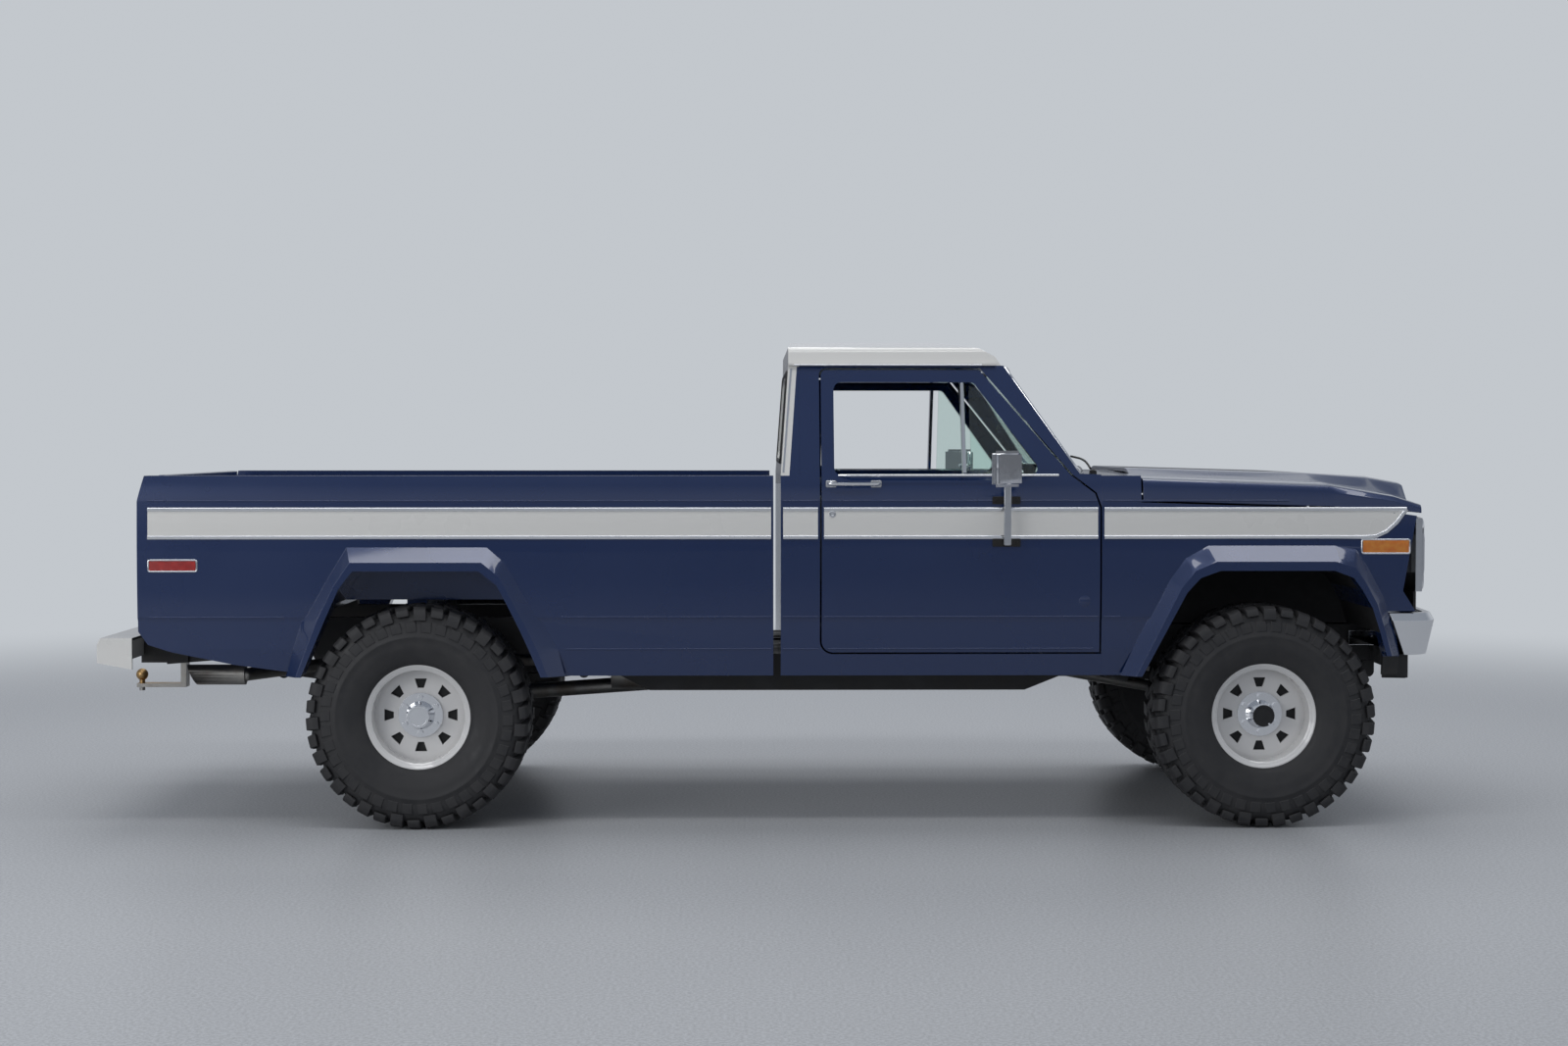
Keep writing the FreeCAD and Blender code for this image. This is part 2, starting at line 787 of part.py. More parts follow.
def windshield_opening(inset):
    """The windshield's opening seen from ahead."""
    low = windshield_base_height + windshield_frame / 2
    high = eave_height - windshield_frame / 3
    tumble = (belt_half_width - eave_half_width) / greenhouse_rise
    base = belt_half_width - windshield_frame - (low - belt_height) * tumble
    top = belt_half_width - windshield_frame - (high - belt_height) * tumble
    points = [(-base, low), (base, low), (top, high), (-top, high)]
    rounding = {k: windshield_frame for k in range(4)}
    return extruded("section", points, door_rear_x, hood_rear_x, rounding, grow=-inset)


rear_window_half_width = 560.0
rear_window_margin = 62.0


def rear_window_opening(inset):
    low = belt_height + rear_window_margin
    high = eave_height - rear_window_margin / 2
    half = rear_window_half_width
    points = [(-half, low), (half, low), (half, high), (-half, high)]
    rounding = {k: rear_window_margin / 2 for k in range(4)}
    return extruded("section", points, cab_back_x, door_rear_x, rounding, grow=-inset)


def back_sheet(setback, wall):
    """The leaning plane of the cab's upper back, as a sheet across the cab."""
    base = cab_back_x + setback
    top = base + upper_lean
    outline = [
        (base, belt_height), (base + wall, belt_height), (top + wall, eave_height), (top, eave_height)
    ]
    return extruded("side", outline, -belt_half_width, belt_half_width)


def floor_outline():
    """The floor from the side, flat and then rising to the firewall over the rails' kick."""
    return [
        (cab_back_x, cab_under_height),
        (toe_x, cab_under_height),
        (firewall_x, cab_under_height + toe_rise),
        (firewall_x, cab_floor_height + toe_rise),
        (toe_x, cab_floor_height),
        (cab_back_x, cab_floor_height),
    ]


def cab_shell():
    wall = extruded("section", wall_section(), cab_back_x, firewall_x, crowns=side_crowns)
    wall = wall.common(extruded("side", cab_profile(), 0, flare_half_width))
    aperture = extruded(
        "side", door_outline(), 0, flare_half_width, radii=door_radii, grow=panel_gap
    )
    seam_x = door_front_x + panel_gap
    pillar_top = belt_height - cowl_wall
    ahead = block((seam_x, firewall_x), (pillar_outer_y, flare_half_width), (0, roof_height))
    cap_room = block((seam_x, firewall_x), (wall_y, flare_half_width), (pillar_top, roof_height))
    strip = block((0, white_strip_x), (0, flare_half_width), (belt_height, roof_height))
    wall = wall.cut([aperture, ahead, cap_room, strip])
    inner = dash_half_width + seat_gap
    pillar = block((seam_x, firewall_x), (inner, pillar_outer_y), (sill_height, pillar_top))
    across = centred(wall_y + skin)
    tunnel_run = (cab_back_x + cab_back_wall, firewall_x)
    floor = extruded("side", floor_outline(), *centred(wall_y - panel_gap * 2))
    ledge = block(
        (cab_back_x, firewall_x), (wall_y - skin, wall_y + skin), (cab_under_height, cab_floor_height)
    )
    floor = floor.fuse([ledge, mirrored(ledge)])
    hump_top = cab_floor_height + tunnel_rise
    hump = block(tunnel_run, centred(tunnel_half_width), (cab_under_height, hump_top))
    tunnel = block(
        tunnel_run,
        centred(tunnel_half_width - tunnel_wall),
        (cab_under_height, hump_top - tunnel_wall),
    )
    back = block((cab_back_x, cab_back_x + cab_back_wall), across, (cab_under_height, belt_height))
    firewall = block(
        (firewall_x - firewall_wall, firewall_x),
        centred(inner + skin),
        (cab_under_height + toe_rise, belt_height - cowl_wall / 2),
    )
    side = joined([pillar] + hinges())
    pieces = [wall, mirrored(wall), side, mirrored(side), floor, hump, back, firewall, cowl()]
    frame = windshield_sheet(0, windshield_frame).common(greenhouse_prism(0))
    frame = frame.cut([windshield_opening(0), aperture, mirrored(aperture)])
    return joined([joined(pieces).cut(tunnel), frame])


def cowl():
    """The panel between windshield and hood, crowned across the vehicle."""
    low = belt_height - cowl_wall
    rear = windshield_base_x - windshield_frame
    points = [
        (-wall_y, low), (wall_y, low), (wall_y, belt_height),
        (0, belt_height + cowl_rise), (-wall_y, belt_height),
    ]
    panel = extruded("section", points, rear, hood_rear_x - panel_gap)
    wide = flare_half_width
    behind_points = [(0, -wide), (rear, -wide), (rear, wide), (0, wide)]
    behind = extruded("plan", behind_points, 0, roof_height, crowns={1: windshield_wrap})
    return panel.cut(behind)


# Roof: a crowned white panel with the cab's upper back and drip rails
roof_wall = 20.0
roof_edge_rise = 72.0
roof_crown_drop = 13.0
roof_shares = [
    (0.0, 0.0), (0.0, 0.65), (0.022, 0.93), (0.36, 1.0),
    (0.72, 0.88), (0.90, 0.63), (0.975, 0.32), (1.0, 0.0),
]
roof_overhang = 22.0
roof_side_corner = 26.0
drip_width = 15.0
drip_height = 9.0


def roof_form(inset):
    """The roof's volume above the eave; inset shrinks it for the hollow."""
    length = windshield_top_x + roof_overhang - cab_back_x - upper_lean
    rise = roof_height - eave_height
    start = cab_back_x + upper_lean
    points = [(start + length * a, eave_height + rise * b) for a, b in roof_shares][::-1]
    along = extruded("side", points, -belt_half_width, belt_half_width, grow=-inset)
    shoulder = eave_half_width - roof_side_corner
    flat = shoulder - roof_edge_rise * 3
    half = [
        (eave_half_width, eave_height),
        (shoulder, eave_height + roof_edge_rise),
        (flat, roof_height - roof_crown_drop),
    ]
    across = half + [(0, roof_height)] + [(-y, z) for y, z in half[::-1]]
    rounding = {1: roof_edge_rise / 2, 5: roof_edge_rise / 2}
    crosswise = extruded("section", across, 0, hood_rear_x, rounding, grow=-inset)
    return along.common(crosswise)


def roof():
    hollow = roof_form(roof_wall)
    shell = roof_form(0).cut([hollow, hollow.translated(Vec(0, 0, -roof_wall))])
    back = back_sheet(0, cab_back_wall).common(greenhouse_prism(0))
    wall = extruded("section", wall_section(), cab_back_x, white_strip_x - seat_gap)
    wall = wall.common(extruded("side", cab_profile(), 0, flare_half_width))
    wall = wall.common(
        block((0, white_strip_x), (0, flare_half_width), (belt_height, eave_height))
    )
    drip = block(
        (cab_back_x + upper_lean, windshield_top_x),
        around(eave_half_width, drip_width),
        (eave_height, eave_height + drip_height),
    )
    back = back.cut(rear_window_opening(0))
    return joined([shell, back, wall, mirrored(wall), drip, mirrored(drip)])


def cab_glass():
    front = windshield_sheet(glass_setback, glass_wall).common(windshield_opening(seat_gap))
    rear = back_sheet(glass_setback, glass_wall).common(rear_window_opening(seat_gap))
    return Part.makeCompound([front, rear])


# Doors: an outer plate over a narrower inner box, with an open window and a vent pane
door_skin = 24.0
door_return = 24.0
window_margin = 50.0
window_corner_radius = 30.0
bar_width = 16.0
glass_inset = 20.0
hinge_setback = 60.0
hinge_depth = 9.0
door_pivot_x = door_front_x - hinge_setback
door_pivot_y = body_half_width - hinge_depth
door_swing = 65.0
hinge_low_height = 885.0
hinge_spacing = 320.0
hinge_arm_half = 4.0
hinge_arm_height = 10.0
hinge_neck = 70.0
hinge_leg_wall = 12.0
hinge_pin_radius = 4.0
hinge_pin_reach = 16.0
hinge_spare = 6.0
hinge_steps = 5


def window_outline():
    top = door_top_height - window_margin
    low = belt_height + seat_gap
    lean = windshield_lean / windshield_rise
    front_top = windshield_top_x - door_front_offset - window_margin / 2
    rear = door_rear_x + window_margin
    return [(rear, low), (front_top + lean * (low - top), low), (front_top, top), (rear, top)]


def window_prism(grow=0):
    rounding = {k: window_corner_radius for k in range(4)}
    return extruded("side", window_outline(), 0, flare_half_width, rounding, grow=grow)


def hinge_arm(spare):
    """Flat arm of a left hinge, bent round the door's skin; spare widens it for the pocket."""
    half = hinge_arm_half + spare
    inner = door_pivot_y - hinge_neck - hinge_leg_wall - spare
    outer = door_pivot_y - hinge_neck + spare
    low, high = hinge_low_height - spare, hinge_low_height + hinge_arm_height + spare
    neck = block(around(door_pivot_x, half), (inner, door_pivot_y + half), (low, high))
    leg = block((door_pivot_x - half, door_front_x + skin), (inner, outer), (low, high))
    return neck.fuse(leg)


def hinge_pin(radius):
    low = hinge_low_height - hinge_pin_reach
    high = hinge_low_height + hinge_arm_height + hinge_pin_reach
    return rod(Vec(door_pivot_x, door_pivot_y, low), Vec(door_pivot_x, door_pivot_y, high), radius)


def hinges():
    """Both hinges of the left door, fixed to the pillar."""
    low = hinge_arm(0).fuse(hinge_pin(hinge_pin_radius))
    return [low, low.translated(Vec(0, 0, hinge_spacing))]


def hinge_pockets():
    """What the left door leaves free round both hinges as it swings, and the pins' bores."""
    pivot = Vec(door_pivot_x, door_pivot_y, 0)
    arm = hinge_arm(hinge_spare)
    sweep = [
        arm.rotated(pivot, Vec(0, 0, 1), door_swing * k / hinge_steps)
        for k in range(hinge_steps + 1)
    ]
    low = sweep + [hinge_pin(hinge_pin_radius + running_fit)]
    return low + [cut.translated(Vec(0, 0, hinge_spacing)) for cut in low]


def door():
    wall = extruded("section", wall_section(), door_rear_x, door_front_x, crowns=side_crowns)
    inner_side = wall.translated(Vec(0, -door_skin, 0))
    plate = wall.cut(inner_side).common(
        extruded("side", door_outline(), 0, flare_half_width, radii=door_radii)
    )
    box = wall.common(
        extruded("side", door_outline(), 0, flare_half_width, radii=door_radii, grow=-door_return)
    )
    return joined([plate, box]).cut([window_prism()] + hinge_pockets())


def greenhouse_sheet(inset, wall):
    """A sheet that follows the side windows' lean on the left."""
    low = belt_half_width - inset
    high = eave_half_width - inset
    points = [
        (low, belt_height), (high, eave_height), (high - wall, eave_height), (low - wall, belt_height)
    ]
    return extruded("section", points, door_rear_x, door_front_x)


def bar_front_x():
    return window_outline()[2][0] - bar_width


def door_glass():
    pane = greenhouse_sheet(glass_inset, glass_wall).common(window_prism(-seat_gap))
    ahead = block(
        (bar_front_x() + seat_gap, door_front_x), (0, flare_half_width), (0, roof_height)
    )
    return pane.common(ahead)


# Door hardware: mirror on its arm, pull handle and division bar
mirror_setback = 358.0
mirror_x = door_front_x - mirror_setback
mirror_reach = 205.0
mirror_width = 160.0
mirror_height = 245.0
mirror_depth = 34.0
mirror_middle_height = 1395.0
mirror_arm_radius = 8.0
mirror_base_drop = 120.0
handle_length = 200.0
handle_height = 34.0
handle_depth = 16.0
handle_rear_offset = 30.0
handle_drop = 118.0


def door_hardware(door_shape):
    bar = greenhouse_sheet(glass_inset - bar_width / 2, bar_width).common(window_prism())
    bar = bar.common(
        block((bar_front_x() - bar_width, bar_front_x()), (0, flare_half_width), (0, roof_height))
    )
    handle_x = door_rear_x + handle_rear_offset
    top = belt_height - handle_drop
    handle = block(
        (handle_x, handle_x + handle_length),
        (step_y - handle_depth, body_half_width + handle_depth),
        (top - handle_height, top),
    )
    return bar, handle.cut(door_shape), mirror().cut(door_shape)


def mirror():
    base_y = step_y - door_skin / 2
    head_y = body_half_width + mirror_reach
    middle_y = head_y - mirror_width / 2
    elbow = Vec(mirror_x, middle_y, shoulder_height)
    head_middle = Vec(mirror_x, middle_y, mirror_middle_height)
    low = Vec(mirror_x, base_y, shoulder_height - mirror_base_drop)
    high = Vec(mirror_x, base_y, shoulder_height - mirror_arm_radius * 4)
    arm = pipe_run([low, elbow, head_middle], mirror_arm_radius)
    points = [
        (y, z)
        for y, z in (
            (head_y - mirror_width, mirror_middle_height - mirror_height / 2),
            (head_y, mirror_middle_height - mirror_height / 2),
            (head_y, mirror_middle_height + mirror_height / 2),
            (head_y - mirror_width, mirror_middle_height + mirror_height / 2),
        )
    ]
    rounding = {k: mirror_depth for k in range(4)}
    low_x, high_x = around(mirror_x, mirror_depth / 2)
    head = extruded("section", points, low_x, high_x, radii=rounding)
    return joined([arm, rod(high, elbow, mirror_arm_radius), head])


# Fenders: outer skin with flare, wheel housing behind it
seam_shares = [(0.0, 0.0), (0.66, -0.42), (0.87, -0.62), (1.0, -1.0)]
hood_side_fall = 52.0
nose_lean = 9.0
nose_rake = 44.0
valance_top_height = 930.0
valance_foot_height = 851.0
valance_foot_reach = 6.0
apron_inner_y = 448.0
apron_low_height = 770.0
fender_cap_gap = 3.5


def shoulder_line(drop):
    """The seam between hood and fender along the side."""
    run = nose_x + nose_lean - hood_rear_x
    return [
        (hood_rear_x + run * a, shoulder_height - drop + hood_side_fall * b)
        for a, b in seam_shares
    ]


def fender_profile():
    rear = door_front_x + panel_gap
    corner = hood_rear_x - panel_gap
    seam = shoulder_line(panel_gap)
    upper, middle, lower = arch_points(front_flare_shares, front_axle_x)[-3:]
    climb = (valance_foot_height - middle[1]) / (upper[1] - middle[1])
    return (
        [(rear, sill_height), (lower[0], sill_height), lower, middle]
        + [
            (middle[0] + (upper[0] - middle[0]) * climb, valance_foot_height),
            (nose_x + valance_foot_reach, valance_foot_height),
            (nose_x - nose_rake, valance_top_height),
            (nose_x, shoulder_height - hood_side_fall * 2),
        ]
        + seam[::-1]
        + [(corner, seam[0][1]), (corner, belt_height), (rear, belt_height)]
    )


def fender():
    cap_y = wall_y + fender_cap_gap
    section = side_outline() + [
        (cap_y, belt_height),
        (cap_y, belt_height - skin),
        (belt_half_width - skin, belt_height - skin),
        (shoulder_y - skin, shoulder_height - skin),
        (lower_y - skin, step_height),
        (sill_y - skin, sill_height),
    ]
    rear = door_front_x + panel_gap
    wall = extruded("section", section, rear, front_end_x, crowns=side_crowns)
    wall = wall.common(extruded("side", fender_profile(), 0, flare_half_width))
    arch = arch_outline(front_arch_shares, front_axle_x)
    apron = extruded("side", arch, apron_inner_y, lower_y - skin / 2, grow=apron_wall)
    apron = apron.cut(extruded("side", arch, 0, flare_half_width))
    inner = apron_inner_y + apron_wall
    plate = extruded("side", arch, apron_inner_y, inner, grow=apron_wall / 2)
    zone = block((rear, nose_x), (0, flare_half_width), (apron_low_height, belt_height))
    housing = apron.fuse(plate).common(zone)
    lip = flare(front_flare_shares, front_arch_shares, front_axle_x)
    whole = joined([wall, housing, lip])
    return whole.cut([extruded("side", arch, inner, flare_half_width + overrun), bumper_room()])


def bumper_room():
    """What the fender leaves free behind the bumper's slanted end, on the left."""
    rear = front_end_x - bumper_bow - bumper_wrap - panel_gap
    low = bumper_low_height - panel_gap
    high = bumper_top_height + panel_gap
    points = [(rear + bumper_end_slant, low), (front_end_x, low), (front_end_x, high), (rear, high)]
    return extruded("side", points, wall_y - overrun, flare_half_width + overrun)


# Hood: a clamshell with a raised middle, bowed across the nose
hood_skin = 16.0
hood_bulge_half = 500.0
hood_crown_inset = 50.0
hood_rear_height = 1409.0
hood_front_height = 1325.0
hood_station_shares = [0.0, 0.62, 0.83, 0.94, 1.0]
hood_seam_shares = [0.0, -0.44, -0.66, -1.0, -1.1]
hood_bulge_shares = [1.0, 0.75, 0.58, 0.30, 0.0]
hood_crown_shares = [0.58, 0.28, -0.24, -0.75, -0.95]


def hood_section(side_z, crown_z, bulge_z, inset, drop):
    half = shoulder_y - inset
    crown = half - hood_crown_inset
    rise = bulge_z - crown_z
    climb = crown_z - side_z
    left = [
        (half, side_z - drop),
        (half - hood_crown_inset * 0.10, side_z + climb * 0.60),
        (half - hood_crown_inset * 0.40, side_z + climb * 0.90),
        (crown, crown_z),
        (hood_bulge_half + hood_crown_inset * 2, crown_z + rise * 0.20),
        (hood_bulge_half, crown_z + rise * 0.90),
        (hood_bulge_half - hood_crown_inset, bulge_z - inset * 0.05),
    ]
    return [(y, z - inset if k else z) for k, (y, z) in enumerate(left)]


def hood_stations(inset, drop):
    run = nose_x + nose_bow + overrun - hood_rear_x
    rise = hood_rear_height - hood_front_height
    stations = []
    for place, seam, bulge, crown in zip(
        hood_station_shares, hood_seam_shares, hood_bulge_shares, hood_crown_shares
    ):
        side_z = shoulder_height + hood_side_fall * seam
        bulge_z = hood_front_height + rise * bulge
        crown_z = hood_front_height + rise * crown
        left = hood_section(side_z, crown_z, bulge_z, inset, drop)
        stations.append((left + [(-y, z) for y, z in left[::-1]], hood_rear_x + run * place))
    return stations


def nose_prism(setback, low, high):
    """All that lies behind the bowed nose line."""
    x = nose_x - setback
    wide = flare_half_width
    points = [(0, -wide), (x, -wide), (x, wide), (0, wide)]
    return extruded("plan", points, low, high, crowns={1: nose_bow})


def hood():
    outer = ruled("section", hood_stations(0, 0)).common(nose_prism(-nose_rake / 2, 0, roof_height))
    inner = ruled("section", hood_stations(hood_skin, overrun))
    return outer.cut(inner.common(nose_prism(hood_skin, 0, roof_height)))


# Grille: bowed nose panel with slots, upright bars, lamp bezels
grille_top_height = 1216.0
grille_low_height = 926.0
grille_wall = 26.0
grille_proud = 30.0
grille_half_width = 560.0
grille_bar_count = 18
grille_bar_width = 12.0
grille_rail = 26.0
lamp_width = 205.0
lamp_height = 150.0
lamp_y = 715.0
lamp_setback = 12.0
lamp_depth = 60.0
panel_half_width = 925.0
lamp_z = (grille_top_height + grille_low_height) / 2


def nose_sheet(setback, wall, low, high, half):
    """A sheet that follows the bowed nose line."""
    keep = block((0, front_end_x), centred(half), (low, high))
    sheet = nose_prism(setback, low, high).cut(nose_prism(setback + wall, low, high))
    return sheet.common(keep)


def lamp_box(y, inset):
    return block(
        (0, front_end_x),
        around(y, lamp_width / 2 - inset),
        around(lamp_z, lamp_height / 2 - inset),
    )


def grille():
    panel = nose_sheet(
        -grille_proud, grille_wall, grille_low_height, grille_top_height, panel_half_width
    )
    mouth = block(
        (0, front_end_x),
        centred(grille_half_width),
        (grille_low_height + grille_rail, grille_top_height - grille_rail),
    )
    frame = panel.cut([mouth, lamp_box(-lamp_y, 0), lamp_box(lamp_y, 0)])
    pitch = 2 * grille_half_width / grille_bar_count
    bars = []
    for k in range(1, grille_bar_count):
        across = around(k * pitch - grille_half_width, grille_bar_width / 2)
        height = (grille_low_height, grille_top_height)
        bars.append(panel.common(block((0, front_end_x), across, height)))
    return joined([frame] + bars)


def headlamps():
    sheet = nose_sheet(
        lamp_setback - grille_proud, lamp_depth, grille_low_height, grille_top_height, panel_half_width
    )
    return both_sides(sheet.common(lamp_box(lamp_y, seat_gap)))


# Small lamps on the body side and tail
marker_length = 180.0
marker_height = 46.0
marker_proud = 5.0
marker_setback = 203.0
marker_drop = 202.0
tail_marker_inset = 48.0
tail_marker_drop = 270.0
tail_marker_height = 36.0
tail_lamp_half = 60.0
tail_lamp_proud = 6.0
tail_lamp_drop = 60.0
tail_lamp_y = (bed_post_inner_y + sill_y) / 2
marker_front_x = nose_x - marker_setback
marker_low_height = shoulder_height - marker_drop
tail_marker_x = bed_rear_x + tail_marker_inset
tail_marker_low_height = shoulder_height - tail_marker_drop


def side_marker(x, z, height):
    outer = body_half_width + marker_proud
    return block((x, x + marker_length), (step_y - skin / 2, outer), (z, z + height))


def amber_lamps(fender_shape):
    marker = side_marker(marker_front_x, marker_low_height, marker_height)
    return both_sides(marker.cut(fender_shape))


def tail_lamps(bed_shape):
    marker = side_marker(tail_marker_x, tail_marker_low_height, tail_marker_height)
    lamp = block(
        (bed_rear_x - tail_lamp_proud, bed_rear_x + bed_post_length),
        around(tail_lamp_y, tail_lamp_half),
        (bed_floor_height, shoulder_height - tail_lamp_drop),
    )
    return both_sides(lamp.cut(bed_shape)), both_sides(marker.cut(bed_shape))


# Radiator, core support, and the black panels below the grille
radiator_half_width = 330.0
radiator_wall = 70.0
radiator_low_height = 775.0
latch_half = 60.0
radiator_setback = 100.0
support_wall = 30.0
valance_wall = 12.0
valance_setback = 20.0
dam_low_height = 584.0
dam_length = 110.0
dam_half_width = 905.0
header_half = 400.0


def radiator():
    x = nose_x - radiator_setback
    core = block(
        (x - radiator_wall, x), centred(radiator_half_width), (radiator_low_height, grille_top_height)
    )
    support = block(
        (x - support_wall, x),
        centred(apron_inner_y - seat_gap),
        (front_kick_bottom + rail_height, grille_top_height),
    )
    latch = block(
        (x - support_wall, x), centred(latch_half), (grille_top_height - support_wall, roof_height)
    )
    under = ruled("section", hood_stations(hood_skin, overrun)).translated(Vec(0, 0, -seat_gap))
    return joined([core, support, latch.common(under)])


def valance():
    """The black panel below the grille, on two arms from the radiator support."""
    top = grille_low_height - seat_gap
    panel = nose_sheet(
        valance_setback - grille_proud, valance_wall, valance_foot_height, top, dam_half_width
    )
    run = (nose_x - radiator_setback - support_wall, front_end_x)
    room = nose_prism(valance_setback - grille_proud, 0, roof_height)
    arms = [
        block(run, around(y, support_wall / 2), (top - support_wall, top)).common(room)
        for y in centred(header_half)
    ]
    return joined([panel, radiator()] + arms)


def air_dam():
    """A shallow skirt below the bumper, turned back at both ends."""
    top = bumper_low_height - seat_gap
    front = nose_sheet(valance_setback, valance_wall, dam_low_height, top, dam_half_width)
    end = block(
        (nose_x - dam_length, nose_x - valance_setback),
        (dam_half_width - valance_wall, dam_half_width),
        (dam_low_height, top),
    )
    return joined([front, end, mirrored(end)])


# Front bumper: a bowed chrome bar with wrapped ends
bumper_low_height = 677.0
bumper_mid_height = 812.0
bumper_top_height = 843.0
bumper_half_width = 962.0
bumper_wrap = 200.0
bumper_end_slant = 64.0
bumper_bow = 42.0
bumper_corner = 110.0
bumper_wall = 12.0
bumper_low_setback = 24.0
bumper_top_setback = 14.0
bracket_width = 16.0


def bumper_wire(setback, z):
    front = front_end_x - bumper_bow - setback
    half = bumper_half_width - setback
    rise = (bumper_top_height - z) / (bumper_top_height - bumper_low_height)
    rear = front_end_x - bumper_bow - bumper_wrap + bumper_end_slant * rise
    points = [(rear, -half), (front, -half), (front, half), (rear, half)]
    rounding = {1: bumper_corner, 2: bumper_corner}
    return outline_face("plan", points, z, rounding, {1: bumper_bow}).OuterWire


def bumper_body():
    levels = [
        (bumper_low_setback, bumper_low_height),
        (0, bumper_mid_height),
        (bumper_top_setback, bumper_top_height),
    ]
    return Part.makeLoft([bumper_wire(setback, z) for setback, z in levels], True, True)


def bumper_hollow():
    """The room behind the bar, open to the rear."""
    inset = bumper_wall + bumper_low_setback
    front = front_end_x - bumper_bow - inset
    half = bumper_half_width - inset
    points = [(0, -half), (front, -half), (front, half), (0, half)]
    rounding = {1: bumper_corner, 2: bumper_corner}
    crowns = {1: bumper_bow}
    return extruded("plan", points, sill_height, belt_height, radii=rounding, crowns=crowns)


def front_bumper():
    bar = bumper_body().cut(bumper_hollow())
    low = front_kick_bottom + rail_height / 3
    bracket = block(
        (frame_nose_x - crossmember_length, front_end_x - bumper_bow),
        (rail_outer_y + seat_gap, rail_outer_y + seat_gap + bracket_width),
        (bumper_low_height, low + rail_height / 2),
    )
    return joined([bar, bracket, mirrored(bracket)])


# Rear step bumper, its brackets, and the hitch with its ball
step_low_height = 627.0
step_top_height = 750.0
step_length = 136.0
step_half_width = 955.0
step_corner = 26.0
notch_half_width = 230.0
notch_depth = 50.0
step_wall = 10.0
plate_hole_spacing = 177.8
plate_hole_radius = 3.5
plate_hole_drop = 25.0
ball_radius = 25.4
ball_shank_radius = 12.0
ball_middle_height = 519.0
ball_reach = 34.0
tongue_half_width = 32.0
tongue_wall = 16.0
tongue_drop = 36.0
drop_plate_wall = 24.0
ball_x = rear_end_x + ball_radius
step_rear_x = ball_x + ball_radius + ball_reach
step_front_x = step_rear_x + step_length


def rear_bumper():
    points = [
        (step_rear_x, step_low_height + step_corner),
        (step_front_x, step_low_height),
        (step_front_x, step_top_height),
        (step_rear_x + step_corner / 2, step_top_height),
        (step_rear_x, step_top_height - step_corner),
    ]
    bar = extruded("side", points, -step_half_width, step_half_width)
    notch = block(
        (step_rear_x - overrun, step_rear_x + notch_depth),
        centred(notch_half_width),
        (step_top_height - notch_depth, step_top_height + overrun),
    )
    hollow = block(
        (step_rear_x + notch_depth + step_wall, step_front_x + overrun),
        centred(step_half_width - step_wall),
        (0, step_top_height - step_wall),
    )
    arm = block(
        (step_rear_x + notch_depth, frame_tail_x + crossmember_length),
        (rail_outer_y + seat_gap, rail_outer_y + seat_gap + bracket_width),
        (tail_bottom + rail_wall, step_top_height - step_wall / 2),
    )
    hole_z = step_top_height - plate_hole_drop
    holes = []
    for y in around(0, plate_hole_spacing / 2):
        start = Vec(step_rear_x, y, hole_z)
        holes.append(rod(start, start + Vec(step_length, 0, 0), plate_hole_radius))
    return joined([bar.cut([notch, hollow]), arm, mirrored(arm)]).cut(holes)


def tow_hitch():
    tongue_z = ball_middle_height - tongue_drop
    ball = Part.makeSphere(ball_radius, Vec(ball_x, 0, ball_middle_height))
    foot = Vec(ball_x, 0, tongue_z - tongue_wall * 2)
    shank = rod(foot, Vec(ball_x, 0, ball_middle_height), ball_shank_radius)
    tongue = block(
        (ball_x - tongue_half_width / 2, step_front_x),
        centred(tongue_half_width),
        (tongue_z - tongue_wall, tongue_z),
    )
    plate_x = (step_front_x - drop_plate_wall, step_front_x)
    low = tail_bottom + rail_wall
    plate = block(
        plate_x, centred(tongue_half_width), (tongue_z - tongue_wall, low + rail_height / 2)
    )
    link = block(
        (step_front_x - drop_plate_wall, frame_tail_x - seat_gap),
        centred(tongue_half_width),
        (low, low + rail_height / 2),
    )
    beam = block(
        (frame_tail_x - drop_plate_wall - seat_gap, frame_tail_x - seat_gap),
        centred(rail_outer_y),
        (low, low + rail_height / 2),
    )
    return joined([ball, shank, tongue, plate, link, beam])


# Front axle: tube, differential and steering heads
axle_radius = 38.0
head_radius = 30.0
head_half_height = 85.0
kingpin_radius = 14.0
kingpin_y = 680.0
diff_radius = 122.0
diff_y = 190.0
diff_drum_share = 0.42
diff_taper = 85.0
diff_cover_radius = 106.0
diff_cover_reach = 136.0
pinion_radius = 52.0
pinion_length = 230.0
knuckle_lug_wall = 22.0
knuckle_lug_gap = 6.0
knuckle_wall_y = 716.0
knuckle_wall = 16.0
knuckle_half_width = 44.0
steering_arm_length = 150.0
stud_radius = 8.0
tie_rod_radius = 15.0
spring_pad_height = 14.0
spring_pad_rear = 88.0
spring_pad_front = 50.0
spring_half_width = 32.0
lug_low_z = tyre_radius - head_half_height - knuckle_lug_gap
lug_high_z = tyre_radius + head_half_height + knuckle_lug_gap
arm_low_z = lug_low_z - knuckle_lug_wall
tie_rod_z = arm_low_z - tie_rod_radius - panel_gap


def axle_tube(half, radius, x):
    return rod(Vec(x, -half, tyre_radius), Vec(x, half, tyre_radius), radius)


